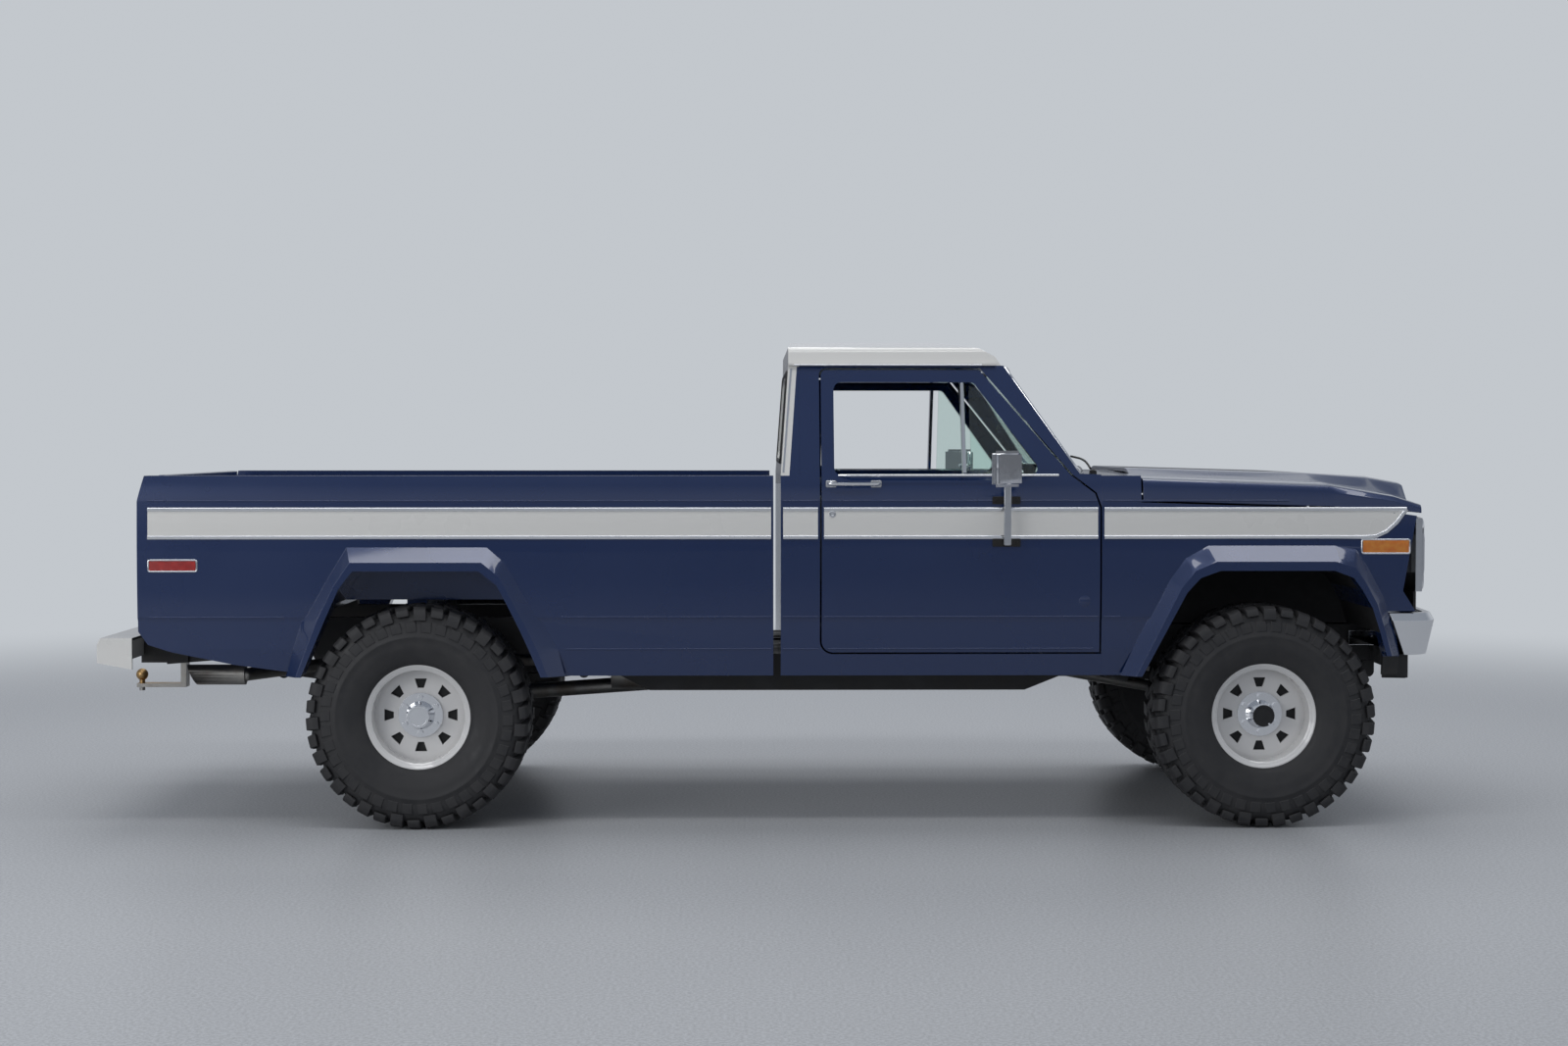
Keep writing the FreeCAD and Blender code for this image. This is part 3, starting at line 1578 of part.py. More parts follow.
def diff_housing(x, y, direction):
    """A tapered drum about the axle with a round cover on the side away from the pinion."""
    half = diff_radius * diff_drum_share
    drum = rod(Vec(x, y - half, tyre_radius), Vec(x, y + half, tyre_radius), diff_radius)
    pieces = [drum]
    for side in (-1, 1):
        foot = Vec(x, y + side * half, tyre_radius)
        way = Vec(0, side, 0)
        pieces.append(Part.makeCone(diff_radius, axle_radius, diff_taper, foot, way))
    middle = Vec(x, y, tyre_radius)
    reach = Vec(direction * diff_cover_reach, 0, 0)
    pieces.append(rod(middle, middle + reach, diff_cover_radius))
    return joined(pieces)


def pinion(x, y, direction):
    start = Vec(x, y, tyre_radius)
    return rod(start, start + Vec(direction * pinion_length, 0, 0), pinion_radius)


def spring_pads(x):
    top = tyre_radius + axle_radius + spring_pad_height
    run = (x - spring_pad_rear, x + spring_pad_front)
    pad = block(run, around(rail_y, spring_half_width), (tyre_radius, top))
    return [pad, mirrored(pad)]


def kingpin_rod(radius, low, high):
    x = front_axle_x
    return rod(Vec(x, kingpin_y, low), Vec(x, kingpin_y, high), radius)


def front_axle():
    low = tyre_radius - head_half_height
    high = tyre_radius + head_half_height
    head = kingpin_rod(head_radius, low, high)
    bore = kingpin_rod(kingpin_radius + running_fit, low, high)
    housing = diff_housing(front_axle_x, diff_y, 1)
    tube = axle_tube(kingpin_y, axle_radius, front_axle_x)
    body = joined(
        [tube, head, mirrored(head), housing, pinion(front_axle_x, diff_y, -1)]
        + spring_pads(front_axle_x)
    )
    return body.cut([bore, mirrored(bore)])


def knuckle():
    """The left knuckle: pinned above and below the axle's head, with spindle and arm."""
    x = front_axle_x
    high_z = lug_high_z + knuckle_lug_wall
    wall = block(
        around(x, knuckle_half_width),
        (knuckle_wall_y, knuckle_wall_y + knuckle_wall),
        (arm_low_z, high_z),
    )
    eye = kingpin_radius * 2
    pin_reach = head_half_height / 2
    pieces = [wall]
    for z0, z1 in ((arm_low_z, lug_low_z), (lug_high_z, high_z)):
        pieces.append(kingpin_rod(eye, z0, z1))
        pieces.append(block(around(x, eye), (kingpin_y, knuckle_wall_y), (z0, z1)))
    pieces.append(kingpin_rod(kingpin_radius, arm_low_z, lug_low_z + pin_reach))
    pieces.append(kingpin_rod(kingpin_radius, lug_high_z - pin_reach, high_z))
    spindle_end = wheel_y + disc_back_y + spindle_reach / 2
    start = Vec(x, knuckle_wall_y, tyre_radius)
    pieces.append(rod(start, Vec(x, spindle_end, tyre_radius), spindle_radius))
    return joined(pieces + [steering_arm()])


def steering_arm():
    eye = stud_radius * 2.5
    x = front_axle_x
    stud_x = x + steering_arm_length
    points = [
        (x, kingpin_y - eye),
        (stud_x, kingpin_y - eye),
        (stud_x + eye, kingpin_y),
        (stud_x, kingpin_y + eye),
        (x, kingpin_y + eye),
    ]
    arm = extruded("plan", points, arm_low_z, lug_low_z)
    low = Vec(stud_x, kingpin_y, arm_low_z)
    return arm.cut(rod(low, Vec(stud_x, kingpin_y, lug_low_z), stud_radius + running_fit))


def tie_rod():
    """Track rod across both arms, with the drag link that rises to the pitman arm."""
    x = front_axle_x + steering_arm_length
    pieces = [rod(Vec(x, -kingpin_y, tie_rod_z), Vec(x, kingpin_y, tie_rod_z), tie_rod_radius)]
    collar = tie_rod_radius * 1.2
    cup = Vec(0, 0, collar)
    for y in (-kingpin_y, kingpin_y):
        middle = Vec(x, y, tie_rod_z)
        pieces.append(rod(middle - cup, middle + cup, collar))
        pieces.append(rod(middle, Vec(x, y, lug_low_z), stud_radius))
    tip_x = pitman_x + steering_arm_length
    link_z = pitman_top_z - pitman_wall - collar - seat_gap * 4
    link_end = Vec(tip_x, pitman_y, link_z)
    link_start = Vec(x, -kingpin_y + collar * 4, tie_rod_z)
    pieces.append(rod(link_start, link_end, tie_rod_radius))
    pieces.append(rod(link_end - cup, link_end + cup, collar))
    pieces.append(rod(link_end, Vec(tip_x, pitman_y, pitman_top_z), stud_radius))
    return joined(pieces)


# Rear axle: tube, differential and spindles
rear_tube_radius = 42.0


def rear_axle():
    x = rear_axle_x
    flange_y = wheel_y + hub_inner_y - panel_gap
    spindle_end = wheel_y + disc_back_y + spindle_reach / 2
    housing = diff_housing(x, 0, -1)
    tubes = [axle_tube(flange_y, rear_tube_radius, x), axle_tube(spindle_end, spindle_radius, x)]
    return joined(tubes + [housing, pinion(x, 0, 1)] + spring_pads(x))


# Leaf springs: a bowed pack with eyes, hangers under the rails
spring_wall = 44.0
spring_tip_wall = 17.0
front_spring_half = 560.0
rear_spring_half = 640.0
eye_rise = 70.0
spring_eye_radius = 24.0
hanger_wall = 12.0
spring_shares = [(1.0, 1.0), (0.5, 0.42), (0.0, 0.0), (-0.5, 0.42), (-1.0, 1.0)]


def leaf_spring(axle_x, half):
    seat = tyre_radius + axle_radius + spring_pad_height + seat_gap
    reach = half - spring_eye_radius
    low = [(axle_x - reach * a, seat + eye_rise * b) for a, b in spring_shares]
    walls = [spring_tip_wall, spring_wall * 0.8, spring_wall, spring_wall * 0.8, spring_tip_wall]
    high = [(x, z + wall) for (x, z), wall in zip(low, walls)]
    y0, y1 = around(rail_y, spring_half_width)
    pieces = [extruded("side", low + high[::-1], y0, y1)]
    for x in (axle_x - reach, axle_x + reach):
        z = seat + eye_rise + spring_tip_wall / 2
        pieces.append(rod(Vec(x, y0, z), Vec(x, y1, z), spring_eye_radius))
        ends = [rail_bottom_at(x - spring_eye_radius), rail_bottom_at(x + spring_eye_radius)]
        for y in (y0, y1 - hanger_wall):
            pieces.append(
                block(
                    around(x, spring_eye_radius), (y, y + hanger_wall), (z, min(ends) - seat_gap)
                )
            )
    return joined(pieces)


def leaf_springs():
    front = leaf_spring(front_axle_x, front_spring_half)
    rear = leaf_spring(rear_axle_x, rear_spring_half)
    return front, mirrored(front), rear, mirrored(rear)


# Shock absorbers: tube, rod and pins, leaning from axle to rail
shock_radius = 26.0
shock_rod_radius = 10.0
shock_body_share = 0.62
shock_foot_setback = 74.0
shock_top_setback = 190.0
shock_inset = 42.0
shock_foot_rise = 20.0


def shock_absorber(axle_x):
    y = rail_outer_y + shock_inset
    foot = Vec(axle_x - shock_foot_setback, y, tyre_radius + shock_foot_rise)
    top_x = axle_x - shock_top_setback
    top = Vec(top_x, y, rail_bottom_at(top_x) + rail_height - shock_rod_radius * 2)
    middle = foot + (top - foot) * shock_body_share
    pieces = [rod(foot, middle, shock_radius), rod(middle, top, shock_rod_radius)]
    pad_y = rail_y + spring_half_width + seat_gap
    pieces.append(rod(Vec(foot.x, pad_y, foot.z), foot, shock_rod_radius))
    pieces.append(rod(Vec(top.x, rail_outer_y + seat_gap, top.z), top, shock_rod_radius))
    eye = Vec(0, shock_rod_radius * 1.5, 0)
    pieces.append(rod(top - eye, top + eye, shock_rod_radius * 1.5))
    return joined(pieces)


def shock_absorbers():
    front = shock_absorber(front_axle_x)
    rear = shock_absorber(rear_axle_x)
    return front, mirrored(front), rear, mirrored(rear)


# Engine, gearbox, shafts
engine_gap = 160.0
engine_front_reach = 280.0
engine_rear_x = firewall_x + engine_gap
engine_front_x = front_axle_x + engine_front_reach
engine_half_width = 250.0
engine_low_height = 650.0
engine_top_height = 1190.0
air_cleaner_radius = 190.0
air_cleaner_height = 100.0
gearbox_radius = 94.0
gearbox_z = 620.0
bell_share = 1.5
case_setback = 415.0
case_length = 185.0
case_front_x = firewall_x - case_setback
case_rear_x = case_front_x - case_length
case_half_width = 110.0
case_drop = 150.0
shaft_radius = 32.0
front_shaft_radius = 24.0
rear_output_share = 0.33
front_output_share = 0.30


def engine():
    body = block(
        (engine_rear_x, engine_front_x),
        centred(engine_half_width),
        (engine_low_height, engine_top_height),
    )
    foot = Vec((engine_rear_x + engine_front_x) / 2, 0, engine_top_height)
    return joined([body, Part.makeCylinder(air_cleaner_radius, air_cleaner_height, foot)])


def transmission():
    bell_x = firewall_x + seat_gap
    middle = Vec(case_front_x, 0, gearbox_z)
    box = rod(middle, Vec(engine_rear_x - seat_gap, 0, gearbox_z), gearbox_radius)
    bell = Part.makeCone(
        gearbox_radius,
        gearbox_radius * bell_share,
        engine_rear_x - seat_gap - bell_x,
        Vec(bell_x, 0, gearbox_z),
        Vec(1, 0, 0),
    )
    case = block(
        (case_rear_x, case_front_x),
        (-case_half_width, diff_y + front_shaft_radius * 2),
        (gearbox_z - case_drop, cab_under_height - panel_gap),
    )
    return joined([box, bell, case])


def drive_shafts():
    """Both shafts, trimmed square to the faces they run between."""
    rear_run = (rear_axle_x + pinion_length + seat_gap, case_rear_x - seat_gap)
    front_run = (case_front_x + seat_gap, front_axle_x - pinion_length - seat_gap)
    shafts = []
    for run, y, z0, z1, radius in (
        (rear_run, 0, tyre_radius, gearbox_z - case_drop * rear_output_share, shaft_radius),
        (front_run, diff_y, gearbox_z - case_drop * front_output_share, tyre_radius, front_shaft_radius),
    ):
        start = Vec(run[0], y, z0)
        end = Vec(run[1], y, z1)
        spare = (end - start) * (radius / (end - start).Length)
        shaft = rod(start - spare, end + spare, radius)
        shafts.append(shaft.common(block(run, centred(track), (0, roof_height))))
    return shafts


# Exhaust and fuel tank
pipe_radius = 26.0
tip_radius = 40.0
tip_length = 230.0
tip_wall = 3.0
muffler_radius = 76.0
muffler_length = 560.0
muffler_reach = 720.0
muffler_rear_x = rear_axle_x + muffler_reach
exhaust_y = -250.0
exhaust_z = 556.0
exhaust_over_z = 603.0
exhaust_cross_reach = 340.0
exhaust_cross_x = rear_axle_x - exhaust_cross_reach
tip_inset = 156.0
tip_x = bed_rear_x + tip_inset
tip_y = -790.0
tip_z = 592.0
manifold_inset = 80.0
manifold_x = engine_rear_x + manifold_inset
manifold_z = 720.0
manifold_gap = 40.0
tank_half_length = 330.0
tank_inset = 10.0
tank_x = cab_back_x + tank_inset
tank_gap = 30.0
tank_width = 330.0
tank_low_height = 480.0
tank_corner = 25.0


def exhaust():
    tip_front = tip_x + tip_length
    muffler_front = muffler_rear_x + muffler_length
    side_y = -engine_half_width - manifold_gap
    tail = pipe_run(
        [
            Vec(tip_front - tip_radius, tip_y, tip_z),
            Vec(tip_front, tip_y, tip_z),
            Vec(exhaust_cross_x, exhaust_y, exhaust_over_z),
            Vec(rear_axle_x + kick_reach, exhaust_y, exhaust_over_z),
            Vec(muffler_rear_x, exhaust_y, exhaust_z),
        ],
        pipe_radius,
    )
    head = pipe_run(
        [
            Vec(muffler_front, exhaust_y, exhaust_z),
            Vec(firewall_x, exhaust_y, exhaust_z),
            Vec(manifold_x, side_y, manifold_z),
            Vec(manifold_x, -engine_half_width - seat_gap, manifold_z),
        ],
        pipe_radius,
    )
    muffler = rod(
        Vec(muffler_rear_x, exhaust_y, exhaust_z),
        Vec(muffler_front, exhaust_y, exhaust_z),
        muffler_radius,
    )
    tip = rod(Vec(tip_x, tip_y, tip_z), Vec(tip_front, tip_y, tip_z), tip_radius)
    bore = rod(
        Vec(tip_x, tip_y, tip_z),
        Vec(tip_front - tip_radius, tip_y, tip_z),
        tip_radius - tip_wall,
    )
    slash = extruded(
        "side",
        [
            (tip_x - tip_radius, tip_z - tip_radius),
            (tip_x + tip_radius, tip_z - tip_radius),
            (tip_x, tip_z + tip_radius),
            (tip_x - tip_radius, tip_z + tip_radius),
        ],
        tip_y - tip_radius,
        tip_y + tip_radius,
    )
    return joined([tail, muffler, head, tip]).cut([bore, slash])


def fuel_tank():
    inner = rail_outer_y + tank_gap
    outer = inner + tank_width
    top = cab_under_height - seat_gap
    points = [(inner, tank_low_height), (outer, tank_low_height), (outer, top), (inner, top)]
    low_x, high_x = around(tank_x, tank_half_length)
    return extruded("section", points, low_x, high_x, radii={0: tank_corner, 1: tank_corner})


# Cabin: dashboard, steering column and wheel, bench seat
dash_half_width = 770.0
dash_depth = 230.0
dash_low_height = 1090.0
dash_top_height = 1340.0
column_y = 380.0
column_radius = 30.0
wheel_rim_radius = 198.0
wheel_rim_section = 13.0
wheel_tilt = 32.0
wheel_setback = 495.0
wheel_x = firewall_x - wheel_setback
wheel_z = 1215.0
column_reach = 600.0
column_shaft_radius = 9.0
spoke_wall = 22.0
hub_disc_radius = 62.0


def dashboard():
    front = firewall_x - firewall_wall - seat_gap
    rear = front - dash_depth
    points = [
        (rear + dash_depth * 0.25, dash_low_height),
        (front, dash_low_height),
        (front, dash_top_height),
        (rear + dash_depth * 0.1, dash_top_height),
        (rear, dash_top_height - dash_depth * 0.3),
    ]
    return extruded("side", points, -dash_half_width, dash_half_width)


def column_axis():
    tilt = math.radians(wheel_tilt)
    return Vec(math.cos(tilt), 0, -math.sin(tilt))


def steering_column():
    """A tube up to the firewall, with the shaft end that enters the wheel's hub."""
    centre = Vec(wheel_x, column_y, wheel_z)
    axis = column_axis()
    start = centre + axis * (spoke_wall + panel_gap)
    end = start + axis * column_reach
    tube = rod(start, end, column_radius)
    shaft = rod(centre + axis * (spoke_wall / 2), end, column_shaft_radius)
    ahead = firewall_x - firewall_wall - seat_gap
    room = block((0, ahead), centred(wall_y), (0, roof_height))
    return joined([tube, shaft]).common(room)


def steering_wheel():
    centre = Vec(wheel_x, column_y, wheel_z)
    axis = column_axis()
    reach = wheel_rim_radius - wheel_rim_section
    section = [math.radians(45 * k) for k in range(8)]
    rings = [
        (reach + wheel_rim_section * math.cos(a), wheel_rim_section * math.sin(a)) for a in section
    ]
    ring = ring_stack(rings, rim_sides, hollow=True)
    ring = ring.rotated(Vec(0, 0, 0), Vec(0, 0, 1), -90)
    ring = ring.rotated(Vec(0, 0, 0), Vec(0, 1, 0), wheel_tilt).translated(centre)
    hub_disc = rod(centre, centre + axis * spoke_wall, hub_disc_radius)
    across = Vec(0, 1, 0)
    down = axis.cross(across)
    if down.z > 0:
        down = down * -1
    spokes = [
        rod(centre, centre + direction * reach, wheel_rim_section * 0.8)
        for direction in (across, across * -1, down)
    ]
    bore = rod(
        centre + axis * (spoke_wall / 2 - running_fit),
        centre + axis * spoke_wall,
        column_shaft_radius + running_fit,
    )
    return joined([ring, hub_disc] + spokes).cut(bore)


seat_half_width = 690.0
seat_rear_gap = 16.0
seat_back_wall = 130.0
seat_depth = 480.0
seat_top_height = 1010.0
seat_low_height = 860.0
seat_back_top = 1352.0
seat_lean = 60.0
seat_round = 30.0
riser_inset = 90.0
seat_rear_x = cab_back_x + cab_back_wall + seat_rear_gap


def bench_seat():
    foot = seat_rear_x + seat_lean
    front = foot + seat_back_wall + seat_depth
    points = [
        (foot, seat_low_height),
        (front, seat_low_height),
        (front, seat_top_height),
        (foot + seat_back_wall, seat_top_height - seat_round),
        (seat_rear_x + seat_back_wall, seat_back_top),
        (seat_rear_x, seat_back_top),
    ]
    rounding = {2: seat_round, 4: seat_round, 5: seat_round}
    return extruded("side", points, -seat_half_width, seat_half_width, radii=rounding)


def seat_riser():
    """Two stands that carry the bench on the floor beside the tunnel."""
    foot = seat_rear_x + seat_lean + riser_inset
    front = foot + seat_back_wall + seat_depth - riser_inset * 2
    side = (tunnel_half_width + riser_inset, seat_half_width - riser_inset)
    return both_sides(
        block((foot, front), side, (cab_floor_height, seat_low_height - seat_gap))
    )


def build():
    os.makedirs("parts", exist_ok=True)
    save_wheels()
    bed = cargo_bed()
    left_fender = fender()
    left_door = door()
    hardware = door_hardware(left_door)
    left_pane = door_glass()
    left_knuckle = knuckle()
    save("ladder_frame", ladder_frame())
    save("cargo_bed", bed)
    save("tailgate", tailgate())
    save("cab_shell", cab_shell())
    save("roof", roof())
    save("cab_glass", cab_glass())
    save("left_fender", left_fender)
    save("right_fender", mirrored(left_fender))
    save("hood", hood())
    save("grille", grille())
    save("headlamps", headlamps())
    save("radiator", valance(), air_dam())
    save("front_bumper", front_bumper())
    save("rear_bumper", rear_bumper())
    save("tow_hitch", tow_hitch())
    save("amber_lamps", amber_lamps(left_fender))
    save("tail_lamps", *tail_lamps(bed))
    save("door_left", left_door)
    save("door_right", mirrored(left_door))
    save("door_glass_left", left_pane)
    save("door_glass_right", mirrored(left_pane))
    save("door_hardware_left", *hardware)
    save("door_hardware_right", *[mirrored(piece) for piece in hardware])
    save("knuckle_left", left_knuckle)
    save("knuckle_right", mirrored(left_knuckle))
    save("tie_rod", tie_rod())
    save("pitman_arm", pitman_arm())
    save("front_axle", front_axle())
    save("rear_axle", rear_axle())
    save("leaf_springs", *leaf_springs())
    save("shock_absorbers", *shock_absorbers())
    save("engine", engine())
    save("transmission", transmission())
    save("drive_shafts", *drive_shafts())
    save("exhaust", exhaust())
    save("fuel_tank", fuel_tank())
    save("dashboard", dashboard())
    save("steering_column", steering_column())
    save("steering_wheel", steering_wheel())
    save("bench_seat", bench_seat())
    save("seat_riser", seat_riser())


build()
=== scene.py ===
import bmesh
import bpy
import json
import math
from mathutils import Euler, Matrix, Vector
from mathutils.bvhtree import BVHTree


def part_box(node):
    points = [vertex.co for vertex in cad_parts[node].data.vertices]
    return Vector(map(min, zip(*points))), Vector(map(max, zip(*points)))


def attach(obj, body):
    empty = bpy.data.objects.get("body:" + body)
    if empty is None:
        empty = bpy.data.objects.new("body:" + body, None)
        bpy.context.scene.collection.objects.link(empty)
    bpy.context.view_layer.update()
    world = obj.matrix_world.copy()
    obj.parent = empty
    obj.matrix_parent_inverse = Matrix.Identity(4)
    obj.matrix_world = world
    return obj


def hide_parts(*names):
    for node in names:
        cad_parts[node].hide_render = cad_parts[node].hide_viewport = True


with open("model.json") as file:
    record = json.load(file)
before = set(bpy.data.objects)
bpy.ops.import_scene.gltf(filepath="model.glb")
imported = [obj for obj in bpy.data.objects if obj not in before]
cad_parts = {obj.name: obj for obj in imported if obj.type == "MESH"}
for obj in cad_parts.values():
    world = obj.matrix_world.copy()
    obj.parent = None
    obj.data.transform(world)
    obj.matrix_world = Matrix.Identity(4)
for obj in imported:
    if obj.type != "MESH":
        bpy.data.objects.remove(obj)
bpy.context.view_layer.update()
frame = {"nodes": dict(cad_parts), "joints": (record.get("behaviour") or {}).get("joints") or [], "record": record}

nodes = frame["nodes"]
record = frame["record"]
bodyOf = {name: body for body, names in record["behaviour"]["bodies"].items() for name in names}
slotOf = {part["node"]: part["material_slot"] for part in record["subparts"]}
jointPlace = {joint["name"]: Vector(joint["pos_m"]) for joint in frame["joints"]}
sides = {"left": 1, "right": -1}


# Materials: each finish is a short function that adds its own detail to a plain shader
def startMaterial(name, color, roughness, metallic=0.0, **extra):
    material = bpy.data.materials.new(name)
    material.use_nodes = True
    tree = material.node_tree
    shader = tree.nodes["Principled BSDF"]
    shader.inputs["Base Color"].default_value = (*color, 1)
    shader.inputs["Roughness"].default_value = roughness
    shader.inputs["Metallic"].default_value = metallic
    for socket, value in extra.items():
        shader.inputs[socket.replace("_", " ")].default_value = value
    material.diffuse_color = (*color, 1)
    return material, tree, shader


def place(tree):
    return tree.nodes.new("ShaderNodeTexCoord").outputs["Object"]


def noise(tree, scale, detail=4.0, rough=0.55):
    node = tree.nodes.new("ShaderNodeTexNoise")
    node.inputs["Scale"].default_value = scale
    node.inputs["Detail"].default_value = detail
    node.inputs["Roughness"].default_value = rough
    tree.links.new(place(tree), node.inputs["Vector"])
    return node.outputs["Fac"]


def wave(tree, direction, scale, distortion=0.0):
    node = tree.nodes.new("ShaderNodeTexWave")
    node.bands_direction = direction
    node.inputs["Scale"].default_value = scale
    node.inputs["Distortion"].default_value = distortion
    tree.links.new(place(tree), node.inputs["Vector"])
    return node.outputs["Fac"]


def mathNode(tree, operation, first, second):
    node = tree.nodes.new("ShaderNodeMath")
    node.operation = operation
    tree.links.new(first, node.inputs[0])
    tree.links.new(second, node.inputs[1])
    return node.outputs[0]


def ramp(tree, fac, low, high, start=0.35, end=0.65):
    node = tree.nodes.new("ShaderNodeValToRGB")
    first, last = node.color_ramp.elements
    first.position, last.position = start, end
    for stop, value in ((first, low), (last, high)):
        stop.color = (*value, 1) if isinstance(value, tuple) else (value, value, value, 1)
    tree.links.new(fac, node.inputs["Fac"])
    return node.outputs["Color"]


def vary(tree, shader, socket, fac, low, high, start=0.35, end=0.65):
    # the socket's value runs from low to high with the pattern
    tree.links.new(ramp(tree, fac, low, high, start, end), shader.inputs[socket])


def bump(tree, shader, height, strength, depth):
    node = tree.nodes.new("ShaderNodeBump")
    node.inputs["Strength"].default_value = strength
    node.inputs["Distance"].default_value = depth
    tree.links.new(height, node.inputs["Height"])
    tree.links.new(node.outputs["Normal"], shader.inputs["Normal"])


def glossPaint(name, color, metallic, flake, roughness):
    material, tree, shader = startMaterial(
        name, color, roughness, metallic, Coat_Weight=1.0, Coat_Roughness=0.04
    )
    low, high = (tuple(part * share for part in color) for share in (1 - flake, 1 + flake))
    vary(tree, shader, "Base Color", noise(tree, 1800.0, 2.0), low, high)
    vary(tree, shader, "Roughness", noise(tree, 2.2), roughness * 0.9, roughness * 1.12)
    return material


def chromePlate(name, color, low, high):
    material, tree, shader = startMaterial(name, color, 0.06, 1.0)
    vary(tree, shader, "Roughness", noise(tree, 14.0, 6.0), low, high)
    return material


def satinMetal(name, color, roughness, metallic, dust):
    material, tree, shader = startMaterial(name, color, roughness, metallic)
    patches = noise(tree, 9.0, 8.0, 0.62)
    vary(tree, shader, "Base Color", patches, color, dust, 0.48, 0.92)
    vary(tree, shader, "Roughness", patches, roughness, min(roughness + 0.25, 1.0))
    bump(tree, shader, noise(tree, 420.0, 3.0), 0.12, 0.0006)
    return material


def tyreRubber(color, scuffed):
    material, tree, shader = startMaterial("tyreRubber", color, 0.62)
    scuff = noise(tree, 18.0, 9.0, 0.65)
    vary(tree, shader, "Base Color", scuff, color, scuffed, 0.40, 0.78)
    vary(tree, shader, "Roughness", scuff, 0.52, 0.78)
    bump(tree, shader, noise(tree, 900.0, 2.0), 0.18, 0.0004)
    return material


def clearGlass(name, color, roughness=0.0, ribs=0.0):
    material, tree, shader = startMaterial(
        name, color, roughness, 0.0, Transmission_Weight=1.0, IOR=1.45
    )
    vary(tree, shader, "Roughness", noise(tree, 5.0, 5.0), roughness, roughness + 0.03)
    if ribs:
        bump(tree, shader, wave(tree, "Y", ribs), 0.5, 0.002)
    return material


def colouredLens(name, color, glow):
    material, tree, shader = startMaterial(
        name, color, 0.12, 0.0, Transmission_Weight=0.35, Coat_Weight=1.0
    )
    bump(tree, shader, wave(tree, "Z", 90.0), 0.35, 0.001)
    vary(tree, shader, "Base Color", noise(tree, 30.0), color, glow)
    return material


def mouldedPlastic(name, color, roughness=0.5, grain=0.25):
    material, tree, shader = startMaterial(name, color, roughness)
    high = tuple(min(1.0, part * 1.35 + 0.004) for part in color)
    vary(tree, shader, "Base Color", noise(tree, 25.0, 6.0), color, high)
    bump(tree, shader, noise(tree, 650.0, 3.0), grain, 0.0005)
    return material


def seatCloth(name, dark, light):
    material, tree, shader = startMaterial(name, dark, 0.85, 0.0, Sheen_Weight=0.4)
    shader.inputs["Sheen Roughness"].default_value = 0.5
    threads = [wave(tree, direction, 380.0, 0.6) for direction in ("X", "Y")]
    weave = mathNode(tree, "MULTIPLY", *threads)
    shade = mathNode(tree, "ADD", weave, noise(tree, 12.0, 6.0))
    vary(tree, shader, "Base Color", shade, dark, light, 0.35, 0.96)
    bump(tree, shader, weave, 0.4, 0.0008)
    return material


bluePaint = glossPaint("bluePaint", (0.0025, 0.020, 0.092), 0.30, 0.10, 0.28)
whitePaint = glossPaint("whitePaint", (0.74, 0.73, 0.70), 0.0, 0.012, 0.30)
wheelWhite = glossPaint("wheelWhite", (0.72, 0.71, 0.70), 0.0, 0.015, 0.34)
chrome = chromePlate("chromePlate", (0.82, 0.83, 0.85), 0.04, 0.10)
framePaint = satinMetal("framePaint", (0.012, 0.012, 0.013), 0.38, 0.0, (0.05, 0.045, 0.04))
bareSteel = satinMetal("bareSteel", (0.34, 0.33, 0.31), 0.34, 1.0, (0.16, 0.11, 0.08))
damperPaint = satinMetal("damperPaint", (0.60, 0.61, 0.63), 0.32, 0.1, (0.38, 0.37, 0.36))
engineIron = satinMetal("engineIron", (0.045, 0.05, 0.055), 0.5, 0.3, (0.10, 0.08, 0.06))
rubber = tyreRubber((0.020, 0.020, 0.022), (0.042, 0.041, 0.042))
windowGlass = clearGlass("windowGlass", (0.80, 0.93, 0.88))
lampGlass = clearGlass("lampGlass", (0.95, 0.96, 0.97), 0.02, 60.0)
amberLens = colouredLens("amberLens", (0.90, 0.22, 0.01), (1.0, 0.36, 0.03))
darkSteel = satinMetal("darkSteel", (0.05, 0.048, 0.047), 0.36, 0.9, (0.03, 0.028, 0.026))
seamRubber = mouldedPlastic("seamRubber", (0.006, 0.006, 0.006), 0.6, 0.08)
linerCloth = mouldedPlastic("linerCloth", (0.045, 0.043, 0.040), 0.9, 0.4)
redLens = colouredLens("redLens", (0.42, 0.008, 0.006), (0.62, 0.02, 0.012))
cabinPlastic = mouldedPlastic("cabinPlastic", (0.018, 0.018, 0.020))
softBlack = mouldedPlastic("softBlack", (0.008, 0.008, 0.009), 0.7, 0.1)
grilleBlack = mouldedPlastic("grilleBlack", (0.010, 0.010, 0.011), 0.35, 0.05)
clothSeat = seatCloth("clothSeat", (0.012, 0.014, 0.020), (0.045, 0.050, 0.065))
mirrorGlass = chromePlate("mirrorGlass", (0.90, 0.92, 0.94), 0.01, 0.03)
ballBronze = satinMetal("ballBronze", (0.42, 0.27, 0.12), 0.28, 1.0, (0.25, 0.14, 0.07))
finishOf = {
    "body_paint": bluePaint, "white_paint": whitePaint, "bright_metal": chrome,
    "frame_paint": framePaint, "bare_steel": bareSteel, "damper_paint": damperPaint,
    "engine_iron": engineIron, "tyre_rubber": rubber, "wheel_paint": wheelWhite,
    "window_glass": windowGlass, "lamp_glass": lampGlass, "amber_lens": amberLens,
    "red_lens": redLens, "cabin_plastic": cabinPlastic, "seat_fabric": clothSeat,
    "grille_plastic": grilleBlack,
}
print("materials made:", len(finishOf))


# Mesh helpers shared by the pieces
def linked(name, data):
    thing = bpy.data.objects.new(name, data)
    bpy.context.scene.collection.objects.link(thing)
    return thing


